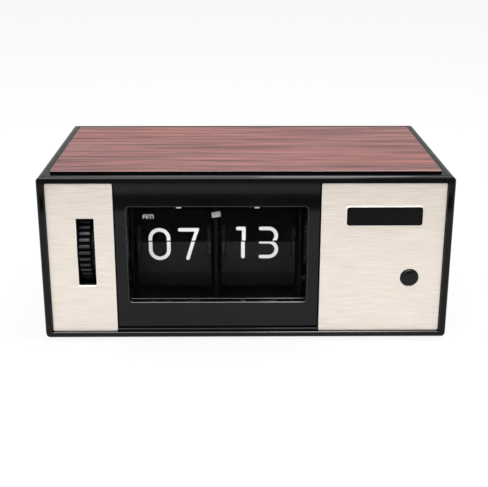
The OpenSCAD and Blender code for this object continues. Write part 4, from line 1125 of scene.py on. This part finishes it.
# %% Print the figures that show after a fall
EIGHT_X = -28.4
EIGHT_UPPER_R = 3.6
EIGHT_LOWER_R = 4.0
FOUR_LEFT = 7.0
FOUR_STEM = 13.3
print_next("next_hour_tens_upper", zero_upper)
print_back("next_hour_tens_lower", zero_lower, "hour_leaf")
print_next("next_hour_units_upper", upper_loop(EIGHT_X, HOUR_TOP, EIGHT_UPPER_R))
for side_name, side in (("left", -1), ("right", 1)):
    print_back("next_hour_units_lower_" + side_name, lower_loop_side(EIGHT_X, HOUR_FOOT, EIGHT_LOWER_R, side),
               "hour_leaf")
print_next("next_minute_tens_upper", one_upper)
print_back("next_minute_tens_lower", one_lower, "minute_leaf")
print_next("next_minute_units_upper", four_upper(FOUR_LEFT, MINUTE_TOP))
print_back("next_minute_units_lower", four_lower(FOUR_LEFT, FOUR_STEM, MINUTE_FOOT), "minute_leaf")
print_back("next_minute_units_stem", rounded_foot(FOUR_STEM, FOUR_STEM, MINUTE_FOOT), "minute_leaf")

# %% [markdown]
# ## Stage
# The photograph has a plain white ground. The floor is a wide pale sheet. For the camera and for
# reflections most of its brightness is its own, which makes the ground white, and the rest is lit, which
# keeps a soft shadow.

# %% Floor and world
OWN_SHARE = 0.88
FLOOR_GREY = (0.86, 0.86, 0.86, 1.0)
WHITE = (1.0, 1.0, 1.0, 1.0)
FLOOR_REACH = 4.0
FLOOR_DROP = 0.0002
SKY_LIGHT = 0.55
SKY_SEEN = 1.0


def seen_directly(tree):
    """1 for camera, mirror and glass rays, 0 for the rays that carry light between dull surfaces."""
    rays = tree.nodes.new("ShaderNodeLightPath").outputs
    seen = rays["Is Camera Ray"]
    for kind in ("Is Glossy Ray", "Is Transmission Ray"):
        either = tree.nodes.new("ShaderNodeMath")
        either.operation = "MAXIMUM"
        tree.links.new(seen, either.inputs[0])
        tree.links.new(rays[kind], either.inputs[1])
        seen = either.outputs[0]
    return seen


def pale_floor():
    """Diffuse white for the light, and mostly self-lit white for the rays that see it directly."""
    material = bpy.data.materials.new("pale_floor")
    material.use_nodes = True
    tree = material.node_tree
    tree.nodes.remove(tree.nodes["Principled BSDF"])
    share = tree.nodes.new("ShaderNodeMath")
    share.operation = "MULTIPLY"
    share.inputs[1].default_value = OWN_SHARE
    tree.links.new(seen_directly(tree), share.inputs[0])
    lit = tree.nodes.new("ShaderNodeBsdfDiffuse")
    lit.inputs["Color"].default_value = FLOOR_GREY
    own = tree.nodes.new("ShaderNodeEmission")
    own.inputs["Color"].default_value = WHITE
    mixed = tree.nodes.new("ShaderNodeMixShader")
    tree.links.new(share.outputs[0], mixed.inputs["Fac"])
    tree.links.new(lit.outputs[0], mixed.inputs[1])
    tree.links.new(own.outputs[0], mixed.inputs[2])
    tree.links.new(mixed.outputs[0], tree.nodes["Material Output"].inputs["Surface"])
    return material


def level(x, y, height):
    """Corners of a level sheet between two places across and two places backwards."""
    return [(x[0], y[0], height), (x[1], y[0], height), (x[1], y[1], height), (x[0], y[1], height)]


floor_mesh = bpy.data.meshes.new("studio_floor")
floor_span = (-FLOOR_REACH, FLOOR_REACH)
floor_mesh.from_pydata(level(floor_span, floor_span, 0.0), [], [(0, 1, 2, 3)])
floor = bpy.data.objects.new("studio_floor", floor_mesh)
floor.location.z = -FLOOR_DROP
floor_mesh.materials.append(pale_floor())
bpy.context.scene.collection.objects.link(floor)

world = bpy.data.worlds.new("studio_world")
bpy.context.scene.world = world
world.use_nodes = True
sky = world.node_tree.nodes["Background"]
sky_strength = world.node_tree.nodes.new("ShaderNodeMapRange")
sky_strength.inputs["To Min"].default_value = SKY_LIGHT
sky_strength.inputs["To Max"].default_value = SKY_SEEN
world.node_tree.links.new(seen_directly(world.node_tree), sky_strength.inputs["Value"])
world.node_tree.links.new(sky_strength.outputs["Result"], sky.inputs["Strength"])
sky.inputs["Color"].default_value = WHITE
print("floor and world strength:", SKY_LIGHT, "for light,", SKY_SEEN, "when seen")

# %% [markdown]
# A polished black front is a mirror: it shows whatever lies on the table before it, and the top shows what
# stands behind. A photographer sets cards there, out of the picture, to give the surfaces their darker
# bands. Two cards overhead glow, and draw thin lines of light on the rounded edges. All the cards are met
# by mirror rays only.

# %% Cards for the mirror rays
CARD_LIFT = 0.0005
CARD_ROUGH = 0.9
OVERHEAD_FRONT = -0.82
OVERHEAD_REAR = 0.07
BEHIND = 0.75
STANDING_HALF_W = 1.2
STANDING_FOOT = 0.02
STANDING_TOP = 0.5


def card_paper(name, shade, glow=0.0):
    """Dull paper of one shade of grey, which may glow."""
    material = bpy.data.materials.new(name)
    material.use_nodes = True
    shader = material.node_tree.nodes["Principled BSDF"]
    shader.inputs["Base Color"].default_value = (shade, shade, shade, 1.0)
    shader.inputs["Roughness"].default_value = CARD_ROUGH
    shader.inputs["Specular IOR Level"].default_value = 0.0
    shader.inputs["Emission Color"].default_value = WHITE
    shader.inputs["Emission Strength"].default_value = glow
    return material


def mirror_card(name, corners, paper):
    """A card with four corners in metres, hidden from every ray but mirror rays."""
    mesh = bpy.data.meshes.new(name)
    mesh.from_pydata(corners, [], [(0, 1, 2, 3)])
    mesh.materials.append(paper)
    card = bpy.data.objects.new(name, mesh)
    bpy.context.scene.collection.objects.link(card)
    for kind in ("camera", "diffuse", "transmission", "shadow"):
        setattr(card, "visible_" + kind, False)


def on_table(near, far, half_width):
    """Corners of a card on the table, between two distances before the front rim."""
    rim = FRONT_RIM * MM
    return level((-half_width, half_width), (rim - far, rim - near), CARD_LIFT)


def overhead(left, right, height):
    """Corners of a card above the front edge of the case."""
    return level((left, right), (OVERHEAD_FRONT, OVERHEAD_REAR), height)


dark_paper = card_paper("dark_card_paper", shade=0.02)
mirror_card("narrow_card", on_table(near=0.208, far=0.251, half_width=0.4), dark_paper)
mirror_card("wide_card", on_table(near=0.280, far=2.0, half_width=1.2), dark_paper)
mirror_card("standing_card", [(STANDING_HALF_W * side, BEHIND, height) for side, height in (
    (-1, STANDING_FOOT), (1, STANDING_FOOT), (1, STANDING_TOP), (-1, STANDING_TOP))],
    card_paper("grey_card_paper", shade=0.34))
mirror_card("light_card", overhead(left=-0.35, right=0.45, height=0.85),
            card_paper("light_card_paper", shade=0.8, glow=4.3))
mirror_card("bright_card", overhead(left=0.03, right=0.22, height=0.84),
            card_paper("bright_card_paper", shade=0.8, glow=14.0))
print("cards set before the front, behind the back and overhead")

# %% [markdown]
# ## Light
# Two large soft boxes do the work: one above, for the top and the shadow, and one in front beside the
# camera, for the plates and the figures. Their power is set so that a pale card shows its own colour.

# %% Light


def soft_box(name, place, target, size, power):
    """A rectangular area light at a place, turned towards a target."""
    data = bpy.data.lights.new(name, "AREA")
    data.shape = "RECTANGLE"
    data.size, data.size_y = size
    data.energy = power
    lamp = bpy.data.objects.new(name, data)
    lamp.location = place
    lamp.rotation_euler = (Vector(target) - Vector(place)).to_track_quat("-Z", "Y").to_euler()
    bpy.context.scene.collection.objects.link(lamp)
    return lamp


soft_box("overhead_box", (0.1, 0.1, 0.9), target=(0.0, 0.0, 0.05), size=(0.9, 0.22), power=6.5)
soft_box("front_box", (-0.20, -0.93, 0.60), target=(0.0, 0.0, 0.04), size=(0.8, 0.4), power=6.8)
bpy.context.scene.view_settings.view_transform = "Standard"
